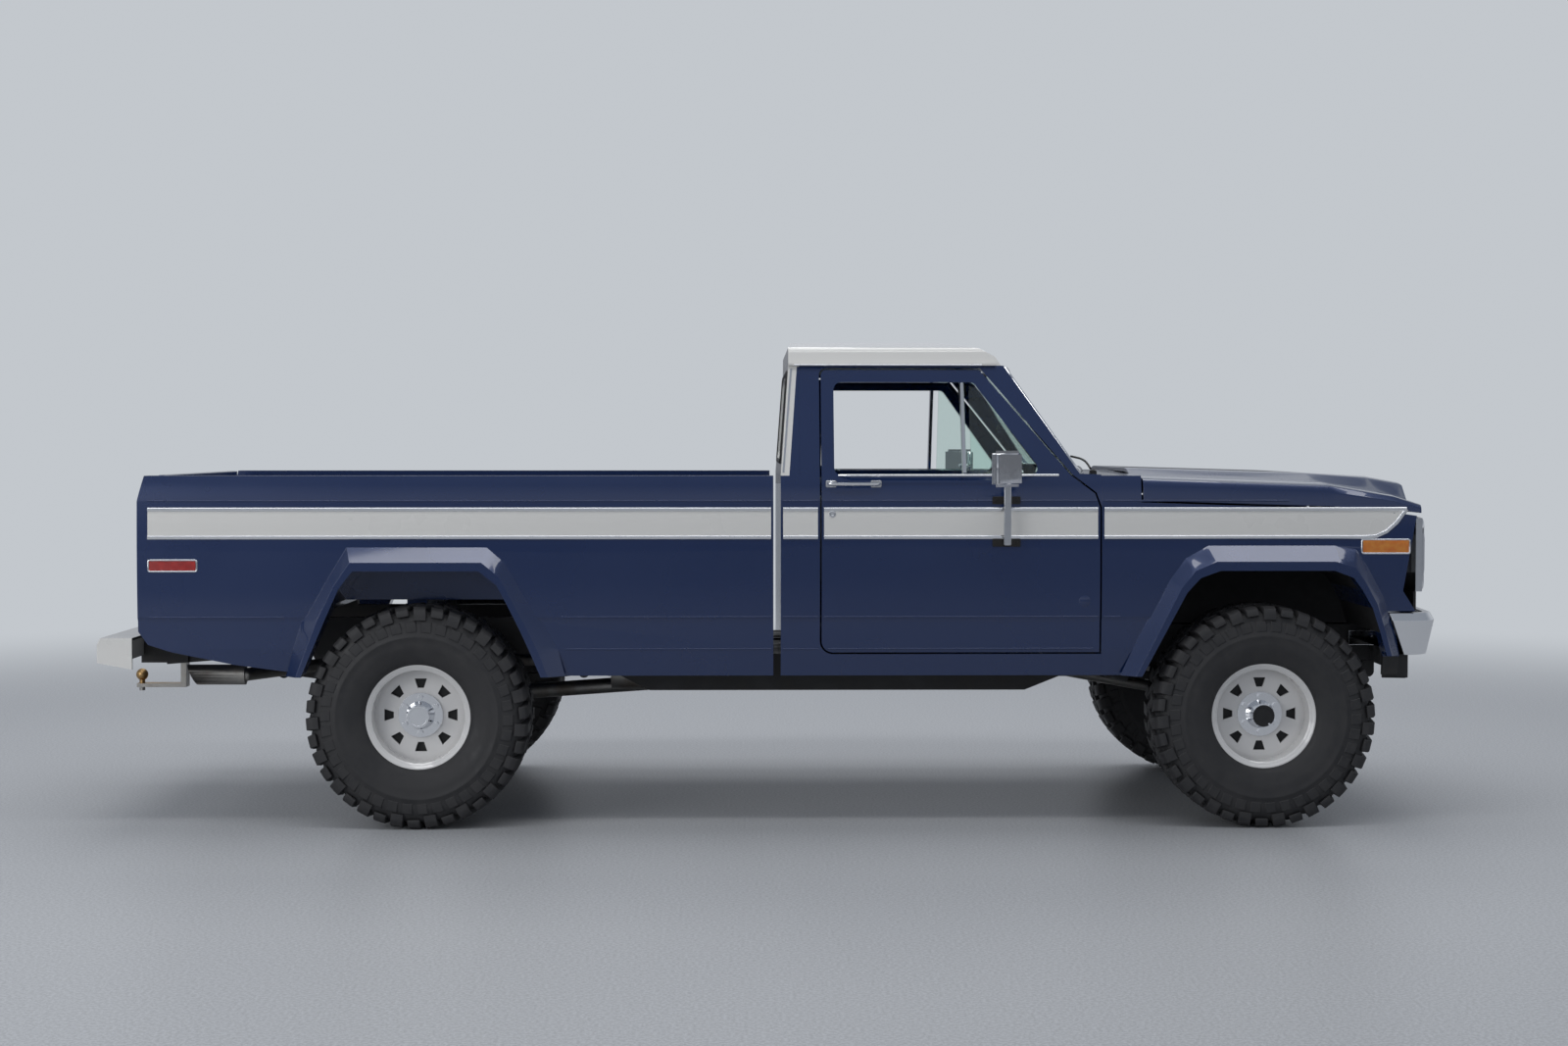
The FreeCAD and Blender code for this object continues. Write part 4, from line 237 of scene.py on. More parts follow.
def addPiece(name, mesh, finish, body, slot):
    piece = linked(name, mesh)
    mesh.materials.clear()
    mesh.materials.append(finish)
    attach(piece, body)
    return piece


def savedForm(form, name):
    mesh = bpy.data.meshes.new(name)
    form.to_mesh(mesh)
    form.free()
    return mesh


# the pressed lines that run along the body, which are too shallow to show by their angle alone
creaseLines = {
    "heights": (0.704, 0.823, 0.830, 0.837, 1.284), "reach": 0.86, "angle": 1.5, "slack": 0.002,
    "level": 0.001, "shortest": 0.01,
}


def isCrease(edge):
    first, second = (vert.co for vert in edge.verts)
    level = abs(first.z - second.z) < creaseLines["level"]
    longEnough = abs(first.x - second.x) > creaseLines["shortest"]
    outside = min(abs(first.y), abs(second.y)) > creaseLines["reach"]
    near = any(abs(first.z - height) < creaseLines["slack"] for height in creaseLines["heights"])
    return level and longEnough and outside and near


def weighEdges(mesh, sharp):
    form = bmesh.new()
    form.from_mesh(mesh)
    weight = form.edges.layers.float.new("bevel_weight_edge")
    for edge in form.edges:
        if len(edge.link_faces) == 2:
            limit = creaseLines["angle"] if isCrease(edge) else sharp
            edge[weight] = float(edge.calc_face_angle(0) > math.radians(limit))
    form.to_mesh(mesh)
    form.free()


def smoothed(piece, bevel=0.0, sharp=32.0):
    for face in piece.data.polygons:
        face.use_smooth = True
    if bevel:
        weighEdges(piece.data, sharp)
        edge = piece.modifiers.new("edgeRound", "BEVEL")
        edge.width = bevel
        edge.segments = 2
        edge.limit_method = "WEIGHT"
        edge.use_clamp_overlap = True
        even = piece.modifiers.new("evenShade", "WEIGHTED_NORMAL")
        even.keep_sharp = True
        even.mode = "FACE_AREA_WITH_ANGLE"
    else:
        piece.data.set_sharp_from_angle(angle=math.radians(sharp))
    return piece


def paintFaces(piece, finish, test):
    # a second finish for the faces whose middle passes the test
    piece.data.materials.append(finish)
    for face in piece.data.polygons:
        if test(face.center):
            face.material_index = len(piece.data.materials) - 1


def cutFaces(piece, point, normal):
    # a line across the faces where one finish ends and another starts
    form = bmesh.new()
    form.from_mesh(piece.data)
    everything = form.verts[:] + form.edges[:] + form.faces[:]
    bmesh.ops.bisect_plane(form, geom=everything, dist=0.00001, plane_co=point, plane_no=normal)
    form.to_mesh(piece.data)
    form.free()


# pressed panels whose slow curves keep all their own faces
curvedNodes = ("hood", "roof", "left_fender", "right_fender")


def cleaned(mesh, flat):
    # joins the facets of flat faces, up to the angle flat
    form = bmesh.new()
    form.from_mesh(mesh)
    bmesh.ops.remove_doubles(form, verts=form.verts, dist=0.00002)
    bmesh.ops.dissolve_limit(
        form, angle_limit=math.radians(flat), verts=form.verts, edges=form.edges
    )
    return savedForm(form, mesh.name + "Clean")


def dress(node, bevel):
    mesh = cleaned(nodes[node].data, 0.03 if node in curvedNodes else 0.6)
    slot = slotOf[node]
    piece = addPiece(node + "Dressed", mesh, finishOf[slot], bodyOf[node], slot)
    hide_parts(node)
    return smoothed(piece, bevel)


def fromForm(form, name, merge=0.00001):
    bmesh.ops.remove_doubles(form, verts=form.verts, dist=merge)
    bmesh.ops.recalc_face_normals(form, faces=form.faces)
    return savedForm(form, name)


def spun(profile, steps, name):
    # profile holds (along, radius) pairs; a ring closes on itself
    form = bmesh.new()
    rings = []
    for step in range(steps):
        angle = 2 * math.pi * step / steps
        ring = []
        for along, radius in profile:
            spot = (radius * math.cos(angle), along, radius * math.sin(angle))
            ring.append(form.verts.new(spot))
        rings.append(ring)
    for step in range(steps):
        first, second = rings[step], rings[(step + 1) % steps]
        for k in range(len(profile) - 1):
            form.faces.new((first[k], first[k + 1], second[k + 1], second[k]))
    return fromForm(form, name)


# Geometry Nodes tree: copies of the piece's own mesh turned evenly about the wheel's axis
def turnTree(name, finish):
    tree = bpy.data.node_groups.new(name, "GeometryNodeTree")
    face = tree.interface
    face.new_socket("Geometry", in_out="INPUT", socket_type="NodeSocketGeometry")
    face.new_socket("Count", in_out="INPUT", socket_type="NodeSocketInt")
    face.new_socket("Start", in_out="INPUT", socket_type="NodeSocketFloat")
    face.new_socket("Geometry", in_out="OUTPUT", socket_type="NodeSocketGeometry")
    new, link = tree.nodes.new, tree.links.new
    entry, leave = new("NodeGroupInput"), new("NodeGroupOutput")
    points, index = new("GeometryNodePoints"), new("GeometryNodeInputIndex")
    link(entry.outputs["Count"], points.inputs["Count"])
    part = mathNode(tree, "DIVIDE", index.outputs[0], entry.outputs["Count"])
    turn = new("ShaderNodeMath")
    turn.operation = "MULTIPLY_ADD"
    turn.inputs[1].default_value = 2 * math.pi
    link(part, turn.inputs[0])
    link(entry.outputs["Start"], turn.inputs[2])
    about = new("ShaderNodeCombineXYZ")
    link(turn.outputs[0], about.inputs["Y"])
    spread = new("GeometryNodeInstanceOnPoints")
    link(points.outputs[0], spread.inputs["Points"])
    link(entry.outputs["Geometry"], spread.inputs["Instance"])
    link(about.outputs[0], spread.inputs["Rotation"])
    real, paint = new("GeometryNodeRealizeInstances"), new("GeometryNodeSetMaterial")
    paint.inputs["Material"].default_value = finish
    link(spread.outputs[0], real.inputs[0])
    link(real.outputs[0], paint.inputs["Geometry"])
    link(paint.outputs[0], leave.inputs[0])
    return tree


def evaluated(mesh, kind, setUp):
    # runs one modifier on a passing object and returns the plain mesh that it makes
    holder = linked("passing", mesh)
    setUp(holder.modifiers.new("step", kind))
    graph = bpy.context.evaluated_depsgraph_get()
    graph.update()
    result = bpy.data.meshes.new_from_object(holder.evaluated_get(graph))
    bpy.data.objects.remove(holder)
    return result


def runTree(mesh, tree, **values):
    def setInputs(step):
        step.node_group = tree
        for item in tree.interface.items_tree:
            if item.item_type == "SOCKET" and item.in_out == "INPUT" and item.name in values:
                step[item.identifier] = values[item.name]

    return evaluated(mesh, "NODES", setInputs)


def joinedMesh(name, meshes):
    form = bmesh.new()
    for mesh in meshes:
        form.from_mesh(mesh)
    return savedForm(form, name)


def moved(mesh, offset, mirrorY=False):
    copy = mesh.copy()
    if mirrorY:
        copy.transform(Matrix.Scale(-1, 4, (0, 1, 0)))
        copy.flip_normals()
    copy.transform(Matrix.Translation(offset))
    return copy


# Shapes that follow a line or a surface
def roundBox(center, size, corner, segments=3):
    form = bmesh.new()
    bmesh.ops.create_cube(form, size=1.0)
    bmesh.ops.scale(form, vec=Vector(size), verts=form.verts)
    bmesh.ops.bevel(form, geom=form.edges[:], offset=corner, segments=segments, affect="EDGES")
    bmesh.ops.translate(form, vec=Vector(center), verts=form.verts)
    return fromForm(form, "roundBox")


def skinRows(form, rows, isRing=False):
    # faces around and along the rows of a bar, whose ends are shut if it isn't a ring
    for first, second in zip(rows, rows[1:] + rows[:1] if isRing else rows[1:]):
        for j in range(len(first)):
            k = (j + 1) % len(first)
            form.faces.new((first[j], second[j], second[k], first[k]))
    if not isRing:
        form.faces.new(rows[0])
        form.faces.new(rows[-1])


def tubeMesh(path, radius, sides=12, flat=1.0):
    # a round bar along path with its ends closed; flat squeezes it along its own second axis
    form = bmesh.new()
    rows = []
    across = None
    for k, spot in enumerate(path):
        run = (path[min(k + 1, len(path) - 1)] - path[max(k - 1, 0)]).normalized()
        if across is None:
            across = run.orthogonal().normalized()
        across = (across - run * across.dot(run)).normalized()
        other = run.cross(across)
        row = []
        for j in range(sides):
            angle = 2 * math.pi * j / sides
            reach = across * math.cos(angle) * flat + other * math.sin(angle)
            row.append(form.verts.new(spot + reach * radius))
        rows.append(row)
    skinRows(form, rows)
    return fromForm(form, "tube")


def softPath(corners, steps=6):
    # a smooth line through its corners' neighbourhood, as bent bar has
    path = [corners[0]]
    for before, here, after in zip(corners, corners[1:], corners[2:]):
        start, end = (before + here) / 2, (here + after) / 2
        for k in range(steps + 1):
            share = k / steps
            path.append(start.lerp(here, share).lerp(here.lerp(end, share), share))
    return path + [corners[-1]]


def discMesh(center, toward, profile, steps=28):
    # a turned shape whose profile holds (height, radius) pairs along toward
    mesh = spun([(height, max(radius, 0.00005)) for height, radius in profile], steps, "disc")
    turn = Vector((0, 1, 0)).rotation_difference(Vector(toward)).to_matrix().to_4x4()
    mesh.transform(Matrix.Translation(center) @ turn)
    return mesh


def surfaceRing(spots, width, height, arc=6):
    # a half-round moulding that closes on itself over (place, normal) spots on a surface
    form = bmesh.new()
    rows = []
    for k, (spot, normal) in enumerate(spots):
        before, after = spots[k - 1][0], spots[(k + 1) % len(spots)][0]
        run = (after - before).normalized()
        across = run.cross(normal).normalized()
        row = []
        for j in range(arc + 1):
            angle = math.pi * j / arc
            off = across * (math.cos(angle) * width / 2)
            row.append(form.verts.new(spot + off + normal * (math.sin(angle) * height - 0.0003)))
        rows.append(row)
    skinRows(form, rows, True)
    return fromForm(form, "moulding")


def roundedLoop(corners, corner, step=0.03, arc=6):
    # corners are pairs of numbers in turn; the loop has rounded corners and even spots between
    loop = []
    count = len(corners)
    for k in range(count):
        before, here, after = (Vector(corners[(k + d) % count]) for d in (-1, 0, 1))
        start = here + (before - here).normalized() * corner
        end = here + (after - here).normalized() * corner
        for j in range(arc + 1):
            share = j / arc
            loop.append(start.lerp(here, share).lerp(here.lerp(end, share), share))
        run = (after + (here - after).normalized() * corner) - end
        between = max(1, round(run.length / step))
        loop += [end + run * j / between for j in range(1, between)]
    return loop


def rectangleLoop(left, right, low, high, corner):
    return roundedLoop([(left, low), (right, low), (right, high), (left, high)], corner)


def castSpots(tree, loop, toSpot, toward):
    # drops each pair of the loop on the surface and keeps the place and its outward normal
    spots = []
    for pair in loop:
        spot, normal = tree.ray_cast(toSpot(pair), Vector(toward))[:2]
        if spot is not None:
            spots.append((spot, normal if normal.dot(Vector(toward)) < 0 else -normal))
    return spots


def castAlongX(tree, loop, start, toward):
    # the same for a loop of (y, z) pairs, seen from the front or from behind
    return castSpots(tree, loop, lambda pair: Vector((start, *pair)), (toward, 0, 0))


def fitted(name, meshes, finish, body, slot, sharp=40.0):
    mesh = meshes[0] if len(meshes) == 1 else joinedMesh(name, meshes)
    return smoothed(addPiece(name, mesh, finish, body, slot), 0.0, sharp)


def chromeTrim(name, meshes, body="chassis"):
    return fitted(name, meshes, chrome, body, "bright_metal")


# Plain solids keep their shape and get rounded edges and a finish
plainNodes = {
    "ladder_frame": 0.003, "engine": 0.004, "transmission": 0.004, "drive_shafts": 0.0008,
    "front_axle": 0.003, "rear_axle": 0.003, "leaf_springs": 0.001, "exhaust": 0.0012,
    "fuel_tank": 0.006, "cab_shell": 0.0022, "roof": 0.004, "dashboard": 0.012,
    "steering_column": 0.003, "seat_riser": 0.002, "left_fender": 0.0022, "right_fender": 0.0022,
    "radiator": 0.002, "rear_bumper": 0.003, "front_bumper": 0.005, "tow_hitch": 0.002,
    "cargo_bed": 0.0022, "hood": 0.0022, "tailgate": 0.003, "tie_rod": 0.0012,
    "pitman_arm": 0.0015, "door_left": 0.0022, "door_right": 0.0022, "knuckle_left": 0.003,
    "knuckle_right": 0.003, "steering_wheel": 0.001, "grille": 0.0012, "shock_absorbers": 0.001,
    "cab_glass": 0.0, "door_glass_left": 0.0, "door_glass_right": 0.0, "headlamps": 0.0,
    "amber_lamps": 0.0012, "tail_lamps": 0.0012,
}
fender = {"tipX": 2.30, "tipTop": 0.672, "linerHalf": 0.80, "linerTop": 1.14}
# a bowl fills this share of the headlamps' depth, and the grille's bright edge has this depth
brightParts = {"bowlShare": 0.6, "grilleEdge": 0.004}
fenderFinishes = [
    (softBlack, lambda spot: abs(spot.y) < fender["linerHalf"] and spot.z < fender["linerTop"]),
    (framePaint, lambda spot: spot.x > fender["tipX"] and spot.z < fender["tipTop"]),
]
# other finishes on one node, each with a test of a face's middle
otherFinishes = {
    "rear_bumper": [(framePaint, lambda spot: spot.x > -2.497)],
    "front_bumper": [(framePaint, lambda spot: spot.x < 2.52 and abs(spot.y) < 0.88)],
    "tow_hitch": [(ballBronze, lambda spot: spot.x < -2.632 and spot.z > 0.480)],
    "exhaust": [(darkSteel, lambda spot: spot.x < -2.19)],
    "left_fender": fenderFinishes, "right_fender": fenderFinishes,
}
pieces = {}
for node, bevel in plainNodes.items():
    pieces[node] = dress(node, bevel)
    if node.endswith("_fender"):
        cutFaces(pieces[node], (0, 0, fender["tipTop"]), (0, 0, 1))
    for finish, test in otherFinishes.get(node, []):
        paintFaces(pieces[node], finish, test)
lampDepths = [vert.co.x for vert in pieces["headlamps"].data.vertices]
bowlFront = min(lampDepths) + brightParts["bowlShare"] * (max(lampDepths) - min(lampDepths))
paintFaces(pieces["headlamps"], chrome, lambda spot: spot.x < bowlFront)
grilleHalf = max(abs(vert.co.y) for vert in pieces["grille"].data.vertices)
edgeStart = grilleHalf - brightParts["grilleEdge"]
paintFaces(pieces["grille"], chrome, lambda spot: abs(spot.y) > edgeStart)
print("plain solids dressed:", len(plainNodes))


# Tyres: a spun carcass with shoulder lugs and centre blocks in staggered rows
tyre = {
    "top": 0.4352, "pitches": 38, "steps": 114,
    "carcass": [
        (0.112, 0.204), (0.122, 0.209), (0.127, 0.216), (0.130, 0.219), (0.134, 0.226),
        (0.145, 0.248), (0.1505, 0.268), (0.1520, 0.272), (0.1545, 0.290), (0.1560, 0.312),
        (0.1575, 0.315), (0.1575, 0.321), (0.1555, 0.324), (0.1545, 0.346), (0.151, 0.366),
        (0.145, 0.390), (0.135, 0.405), (0.118, 0.414), (0.080, 0.4175), (0.0, 0.4185),
    ],
    "lugLong": [(0.052, 0.4352), (0.134, 0.4340), (0.1525, 0.424), (0.158, 0.404), (0.1575, 0.382)],
    "lugShort": [(0.068, 0.4352), (0.134, 0.4340), (0.1525, 0.424), (0.158, 0.408), (0.1575, 0.398)],
    "lugSide": [(0.1540, 0.377), (0.1567, 0.356), (0.1572, 0.336)],
    "sideWidth": 0.041, "sideSink": 0.013, "sideSlant": 0.003,
    "lugWidth": 0.047, "lugFoot": 0.053, "lugSink": 0.024, "slant": 0.014,
    "blockInner": 0.005, "blockOuter": 0.046, "blockWidth": 0.042, "blockSlant": -0.022,
}


def lugMesh(path, width, foot, sink, slant):
    # a bar along path across the tread: its top is at the path, its foot sink below
    form = bmesh.new()
    tops, feet = [], []
    start, end = path[0][0], path[-1][0]
    for k, (along, radius) in enumerate(path):
        before = Vector(path[max(k - 1, 0)])
        after = Vector(path[min(k + 1, len(path) - 1)])
        run = (after - before).normalized()
        inward = Vector((run.y, -run.x))
        if inward.y > 0 and k == 0:
            inward = -inward
        low = Vector((along, radius)) + inward * sink
        shift = slant * (along - start) / max(end - start, 0.001)
        tops.append([form.verts.new((shift + s * width / 2, along, radius)) for s in (-1, 1)])
        feet.append([form.verts.new((shift + s * foot / 2, low.x, low.y)) for s in (-1, 1)])
    for k in range(len(path) - 1):
        form.faces.new((tops[k][0], tops[k][1], tops[k + 1][1], tops[k + 1][0]))
        form.faces.new((feet[k][0], feet[k + 1][0], feet[k + 1][1], feet[k][1]))
        for s in (0, 1):
            form.faces.new((tops[k][s], tops[k + 1][s], feet[k + 1][s], feet[k][s]))
    for k in (0, -1):
        form.faces.new((tops[k][0], tops[k][1], feet[k][1], feet[k][0]))
    bmesh.ops.recalc_face_normals(form, faces=form.faces)
    edges = [e for e in form.edges if all(abs(v.co.z) > 0.39 or abs(v.co.y) > 0.15 for v in e.verts)]
    bmesh.ops.bevel(
        form, geom=edges, offset=0.0022, segments=1, affect="EDGES", clamp_overlap=True
    )
    return savedForm(form, "lug")


def turned(mesh, angle):
    copy = mesh.copy()
    copy.transform(Matrix.Rotation(angle, 4, "Y"))
    return copy


def tyreMesh():
    half = tyre["carcass"]
    profile = half + [(-along, radius) for along, radius in half[-2::-1]]
    carcass = spun(profile, tyre["steps"], "carcass")
    pitch = 2 * math.pi / tyre["pitches"]
    bar = [tyre["lugWidth"], tyre["lugFoot"], tyre["lugSink"], tyre["slant"]]
    long = lugMesh(tyre["lugLong"], *bar)
    short = lugMesh(tyre["lugShort"], *bar)
    middle = lugMesh(
        [(tyre["blockInner"], tyre["top"]), (tyre["blockOuter"], tyre["top"])],
        tyre["blockWidth"], tyre["blockWidth"] * 1.15, tyre["lugSink"], tyre["blockSlant"],
    )
    wall = lugMesh(
        tyre["lugSide"], tyre["sideWidth"], tyre["sideWidth"] * 1.1, tyre["sideSink"],
        tyre["sideSlant"],
    )
    sets = [long, turned(short, pitch), turned(middle, pitch * 0.45), turned(middle, pitch * 1.45)]
    sets += [turned(wall, pitch * 0.62), turned(wall, pitch * 1.62)]
    other = [moved(mesh, Vector(), True) for mesh in sets]
    sets += [turned(mesh, pitch * 0.5) for mesh in other]
    group = joinedMesh("lugSet", sets)
    tree = turnTree("lugRing", rubber)
    ring = runTree(group, tree, Count=tyre["pitches"] // 2, Start=0.0)
    carcass.materials.append(rubber)
    return joinedMesh("tyreMesh", [carcass, ring])


wheelTrim = {
    "shield": [(0.000, 0.060), (0.000, 0.180), (0.003, 0.180), (0.003, 0.060), (0.000, 0.060)],
    "drumDepth": 0.0185, "capRadius": 0.012,
}
tyreForm = tyreMesh()
for corner in ("front_left", "front_right", "rear_left", "rear_right"):
    center, body = jointPlace["spin_" + corner], "wheel_" + corner
    side = -1 if corner.endswith("right") else 1
    mesh = moved(tyreForm, center, side < 0)
    piece = fitted("tyre_" + corner + "Dressed", [mesh], rubber, body, "tyre_rubber", 35.0)
    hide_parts("tyre_" + corner)
    # a thin black ring behind the wheel's windows: a dark sheet put there as painted shade inside the wheel
    shield = discMesh(center, (0, side, 0), wheelTrim["shield"], 48)
    fitted("brakeShield_" + corner, [shield], softBlack, body, "frame_paint", 35.0)
    dress("rim_" + corner, 0.0012)
    hub = dress("hub_" + corner, 0.0006)
    # the drum behind the wheel's windows is painted black: its own dark colour, darkened further as painted shade
    # inside the wheel
    paintFaces(hub, softBlack, lambda spot: side * (spot.y - center.y) < wheelTrim["drumDepth"])
    if corner.startswith("front"):
        # the dark cap on the locking hub
        def isCap(spot):
            return math.hypot(spot.x - center.x, spot.z - center.z) < wheelTrim["capRadius"]

        paintFaces(hub, softBlack, isCap)
print("tyres made:", len(tyreForm.polygons), "faces each")


# Body side trim: bands and mouldings lie on the panels, found by casting rays at them
def skinOf(names):
    form = bmesh.new()
    for name in names:
        form.from_mesh(nodes[name].data)
    tree = BVHTree.FromBMesh(form)
    form.free()
    return tree


trim = {
    "lowLine": 1.142, "highLine": 1.251, "bandInset": 0.004, "lift": 0.0007,
    "step": 0.04, "barHeight": 0.017, "barDepth": 0.0065, "arc": 7, "bandRows": 6,
    "tipX": 2.512, "curveStart": 2.36, "curvePower": 2.2, "farOut": 1.3, "standIn": 0.955,
}


def skinY(tree, x, z, side):
    # tries a few spots close by, and a place that no ray meets gets the stand-in half width
    for shift in (0, 0.0007, -0.0007, 0.002, -0.002):
        start = Vector((x + shift, side * trim["farOut"], z + shift / 2))
        spot = tree.ray_cast(start, Vector((0, -side, 0)))[0]
        if spot is not None:
            return spot.y
    return side * trim["standIn"]


panels = {
    "cargo_bed": (-2.404, 0.022, "chassis"), "cab_shell": (0.069, 0.205, "chassis"),
    "door": (0.229, 1.301, "door"), "fender": (1.326, 2.512, "chassis"),
}


def panelNode(panel, sideName):
    if panel == "door":
        return "door_" + sideName
    return sideName + "_fender" if panel == "fender" else panel


def lowEdge(x):
    # the lower moulding, which curves up to the tip at the front
    past = max(0.0, (x - trim["curveStart"]) / (trim["tipX"] - trim["curveStart"]))
    return trim["lowLine"] + (trim["highLine"] - trim["lowLine"]) * past ** trim["curvePower"]


def stations(start, end, step):
    count = max(2, round((end - start) / step))
    return [start + (end - start) * k / count for k in range(count + 1)]


def bandMesh(tree, side, start, end, name):
    form = bmesh.new()
    rows = []
    count = trim["bandRows"]
    for x in stations(start, end, trim["step"]):
        low, high = lowEdge(x) + trim["bandInset"], trim["highLine"] - trim["bandInset"]
        row = []
        for k in range(count + 1):
            z = low + (max(high, low + 0.0005) - low) * k / count
            y = skinY(tree, x, z, side)
            row.append(form.verts.new((x, y + side * trim["lift"], z)))
        rows.append(row)
    for first, second in zip(rows, rows[1:]):
        for k in range(count):
            face = [first[k], second[k], second[k + 1], first[k + 1]]
            form.faces.new(face if side < 0 else face[::-1])
    return savedForm(form, name)


def barMesh(tree, side, path, name, height=trim["barHeight"], depth=trim["barDepth"]):
    # a half-round bar along path, a list of (x, z) spots on the panel
    form = bmesh.new()
    rows = []
    for k, (x, z) in enumerate(path):
        before, after = path[max(k - 1, 0)], path[min(k + 1, len(path) - 1)]
        run = Vector((after[0] - before[0], after[1] - before[1])).normalized()
        base = skinY(tree, x, z, side)
        row = []
        for j in range(trim["arc"] + 1):
            angle = math.pi * j / trim["arc"]
            off = math.cos(angle) * height / 2
            lift = math.sin(angle) * depth
            row.append(form.verts.new((x - run.y * off, base + side * lift, z + run.x * off)))
        rows.append(row)
    skinRows(form, rows)
    return fromForm(form, name)


def sidePanels():
    # every panel of both sides with its ends, its surface, its body and a tag for names
    for sideName, side in sides.items():
        for panel, (start, end, body) in panels.items():
            rides = body + "_" + sideName if body == "door" else body
            tree = skinOf([panelNode(panel, sideName)])
            yield panel, side, start, end, tree, rides, panel + sideName.capitalize()


for panel, side, start, end, tree, rides, tag in sidePanels():
    band = bandMesh(tree, side, start, end, tag)
    fitted("whiteBand" + tag, [band], whitePaint, rides, "white_paint", 60.0)
    xs = stations(start, end, trim["step"])
    paths = ([(x, lowEdge(x)) for x in xs], [(x, trim["highLine"]) for x in xs])
    bars = [barMesh(tree, side, path, tag) for path in paths]
    fitted("sideBar" + tag, bars, chrome, rides, "bright_metal", 60.0)

# the pressed lines along the body catch the light as narrow beads, clear of the wheel arches
pressedLines = {
    "height": 0.007, "depth": 0.0022,
    "cargo_bed": ((1.284, -2.404, 0.022), (0.830, -2.400, -1.880), (0.830, -0.800, 0.022),
                  (0.704, -0.780, 0.022)),
    "cab_shell": ((1.284, 0.069, 0.205), (0.830, 0.069, 0.205), (0.704, 0.069, 0.205)),
    "door": ((1.284, 0.229, 1.295), (0.830, 0.229, 1.301), (0.704, 0.245, 1.285)),
    "fender": ((1.284, 1.330, 2.050), (0.830, 1.326, 1.390)),
}
for panel, side, start, end, tree, rides, tag in sidePanels():
    beads = []
    for z, first, last in pressedLines[panel]:
        path = [(x, z) for x in stations(first, last, trim["step"])]
        beads.append(barMesh(tree, side, path, "bead", pressedLines["height"], pressedLines["depth"]))
    fitted("pressedLine" + tag, beads, bluePaint, rides, "body_paint", 60.0)
print("side bands, mouldings and pressed lines fitted")


# Glass surrounds, gutters and the lamps' frames
glassTrim = {
    "width": 0.030, "height": 0.006, "low": 1.413, "high": 1.8015, "base": 0.873, "top": 0.737,
    "corner": 0.05, "grow": 0.010,
    "rearHalf": 0.560, "rearLow": 1.444, "rearHigh": 1.786, "rearWidth": 0.020, "rearCorner": 0.04,
}


def makeGlassTrim():
    grow = glassTrim["grow"]
    low, high = glassTrim["low"] - grow, glassTrim["high"] + grow * 0.6
    base, top = glassTrim["base"] + grow, glassTrim["top"] + grow
    loop = roundedLoop([(-base, low), (base, low), (top, high), (-top, high)], glassTrim["corner"])
    spots = castAlongX(skinOf(["cab_shell"]), loop, 2.0, -1)
    chromeTrim("windshieldTrim", [surfaceRing(spots, glassTrim["width"], glassTrim["height"])])
    half = glassTrim["rearHalf"] + grow
    low, high = glassTrim["rearLow"] - grow, glassTrim["rearHigh"] + grow
    loop = rectangleLoop(-half, half, low, high, glassTrim["rearCorner"])
    spots = castAlongX(skinOf(["cab_shell", "roof"]), loop, -0.3, 1)
    seal = surfaceRing(spots, glassTrim["rearWidth"], glassTrim["height"])
    fitted("rearWindowSeal", [seal], seamRubber, "chassis", "grille_plastic")


wiper = {
    "pivots": (-0.60, 0.08), "pivotX": 1.33, "cap": [(0, 0.0), (0, 0.016), (0.012, 0.014), (0.018, 0.0)],
    "bladeStart": 0.03, "bladeLength": 0.46, "height": 1.445, "radius": 0.0045, "lift": 0.006,
}


def makeWipers():
    shell, glass = skinOf(["cab_shell"]), skinOf(["cab_glass"])
    meshes = []
    for y in wiper["pivots"]:
        foot = shell.ray_cast(Vector((wiper["pivotX"], y, 1.7)), Vector((0, 0, -1)))[0]
        if foot is None:
            continue
        meshes.append(discMesh(foot, (0, 0, 1), wiper["cap"]))
        start = y + wiper["bladeStart"]
        loop = [(start + wiper["bladeLength"] * k / 12, wiper["height"]) for k in range(13)]
        blade = [spot + normal * wiper["lift"] for spot, normal in castAlongX(glass, loop, 2.0, -1)]
        if len(blade) < 3:
            continue
        meshes.append(tubeMesh(blade, wiper["radius"], 8, 0.6))
        middle = blade[len(blade) // 2]
        raised = foot + Vector((-0.01, 0.0, 0.020))
        bend = (raised + middle) / 2 + Vector((0.02, 0, 0.015))
        arm = softPath([raised, bend, middle + Vector((0.008, 0, 0.006))])
        meshes.append(tubeMesh(arm, wiper["radius"], 8))
    fitted("wipers", meshes, softBlack, "chassis", "grille_plastic")


# thin bright lines along the cab: the (x, z) path, height and depth of each
edgeLines = {
    "gutter": ([(x, 1.8185) for x in stations(0.115, 0.86, 0.05)], 0.007, 0.003),
    "rearEdge": ([(0.071 + 0.032 * k / 10, 1.395 + 0.41 * k / 10) for k in range(11)], 0.009, 0.003),
    "beltStrip": ([(x, 1.3835) for x in stations(0.285, 1.150, 0.05)], 0.010, 0.004),
}
sideLamp = {"grow": 0.004, "corner": 0.008, "width": 0.008, "height": 0.004}


def makeSideTrim(sideName, side):
    shell, door = skinOf(["roof", "cab_shell"]), skinOf(["door_" + sideName])
    for name, (path, height, depth) in edgeLines.items():
        isBelt = name == "beltStrip"
        line = barMesh(door if isBelt else shell, side, path, name, height, depth)
        chromeTrim(name + sideName, [line], "door_" + sideName if isBelt else "chassis")
    grow = sideLamp["grow"]
    for node, lamp in ((sideName + "_fender", "amber_lamps"), ("cargo_bed", "tail_lamps")):
        low, high = sideLampBox(lamp, side)
        loop = rectangleLoop(
            low.x - grow, high.x + grow, low.z - grow, high.z + grow, sideLamp["corner"]
        )
        spots = castSpots(skinOf([node, lamp]), loop,
                          lambda xz: Vector((xz[0], side * trim["farOut"], xz[1])), (0, -side, 0))
        ring = surfaceRing(spots, sideLamp["width"], sideLamp["height"])
        chromeTrim(lamp + "Frame" + sideName, [ring])


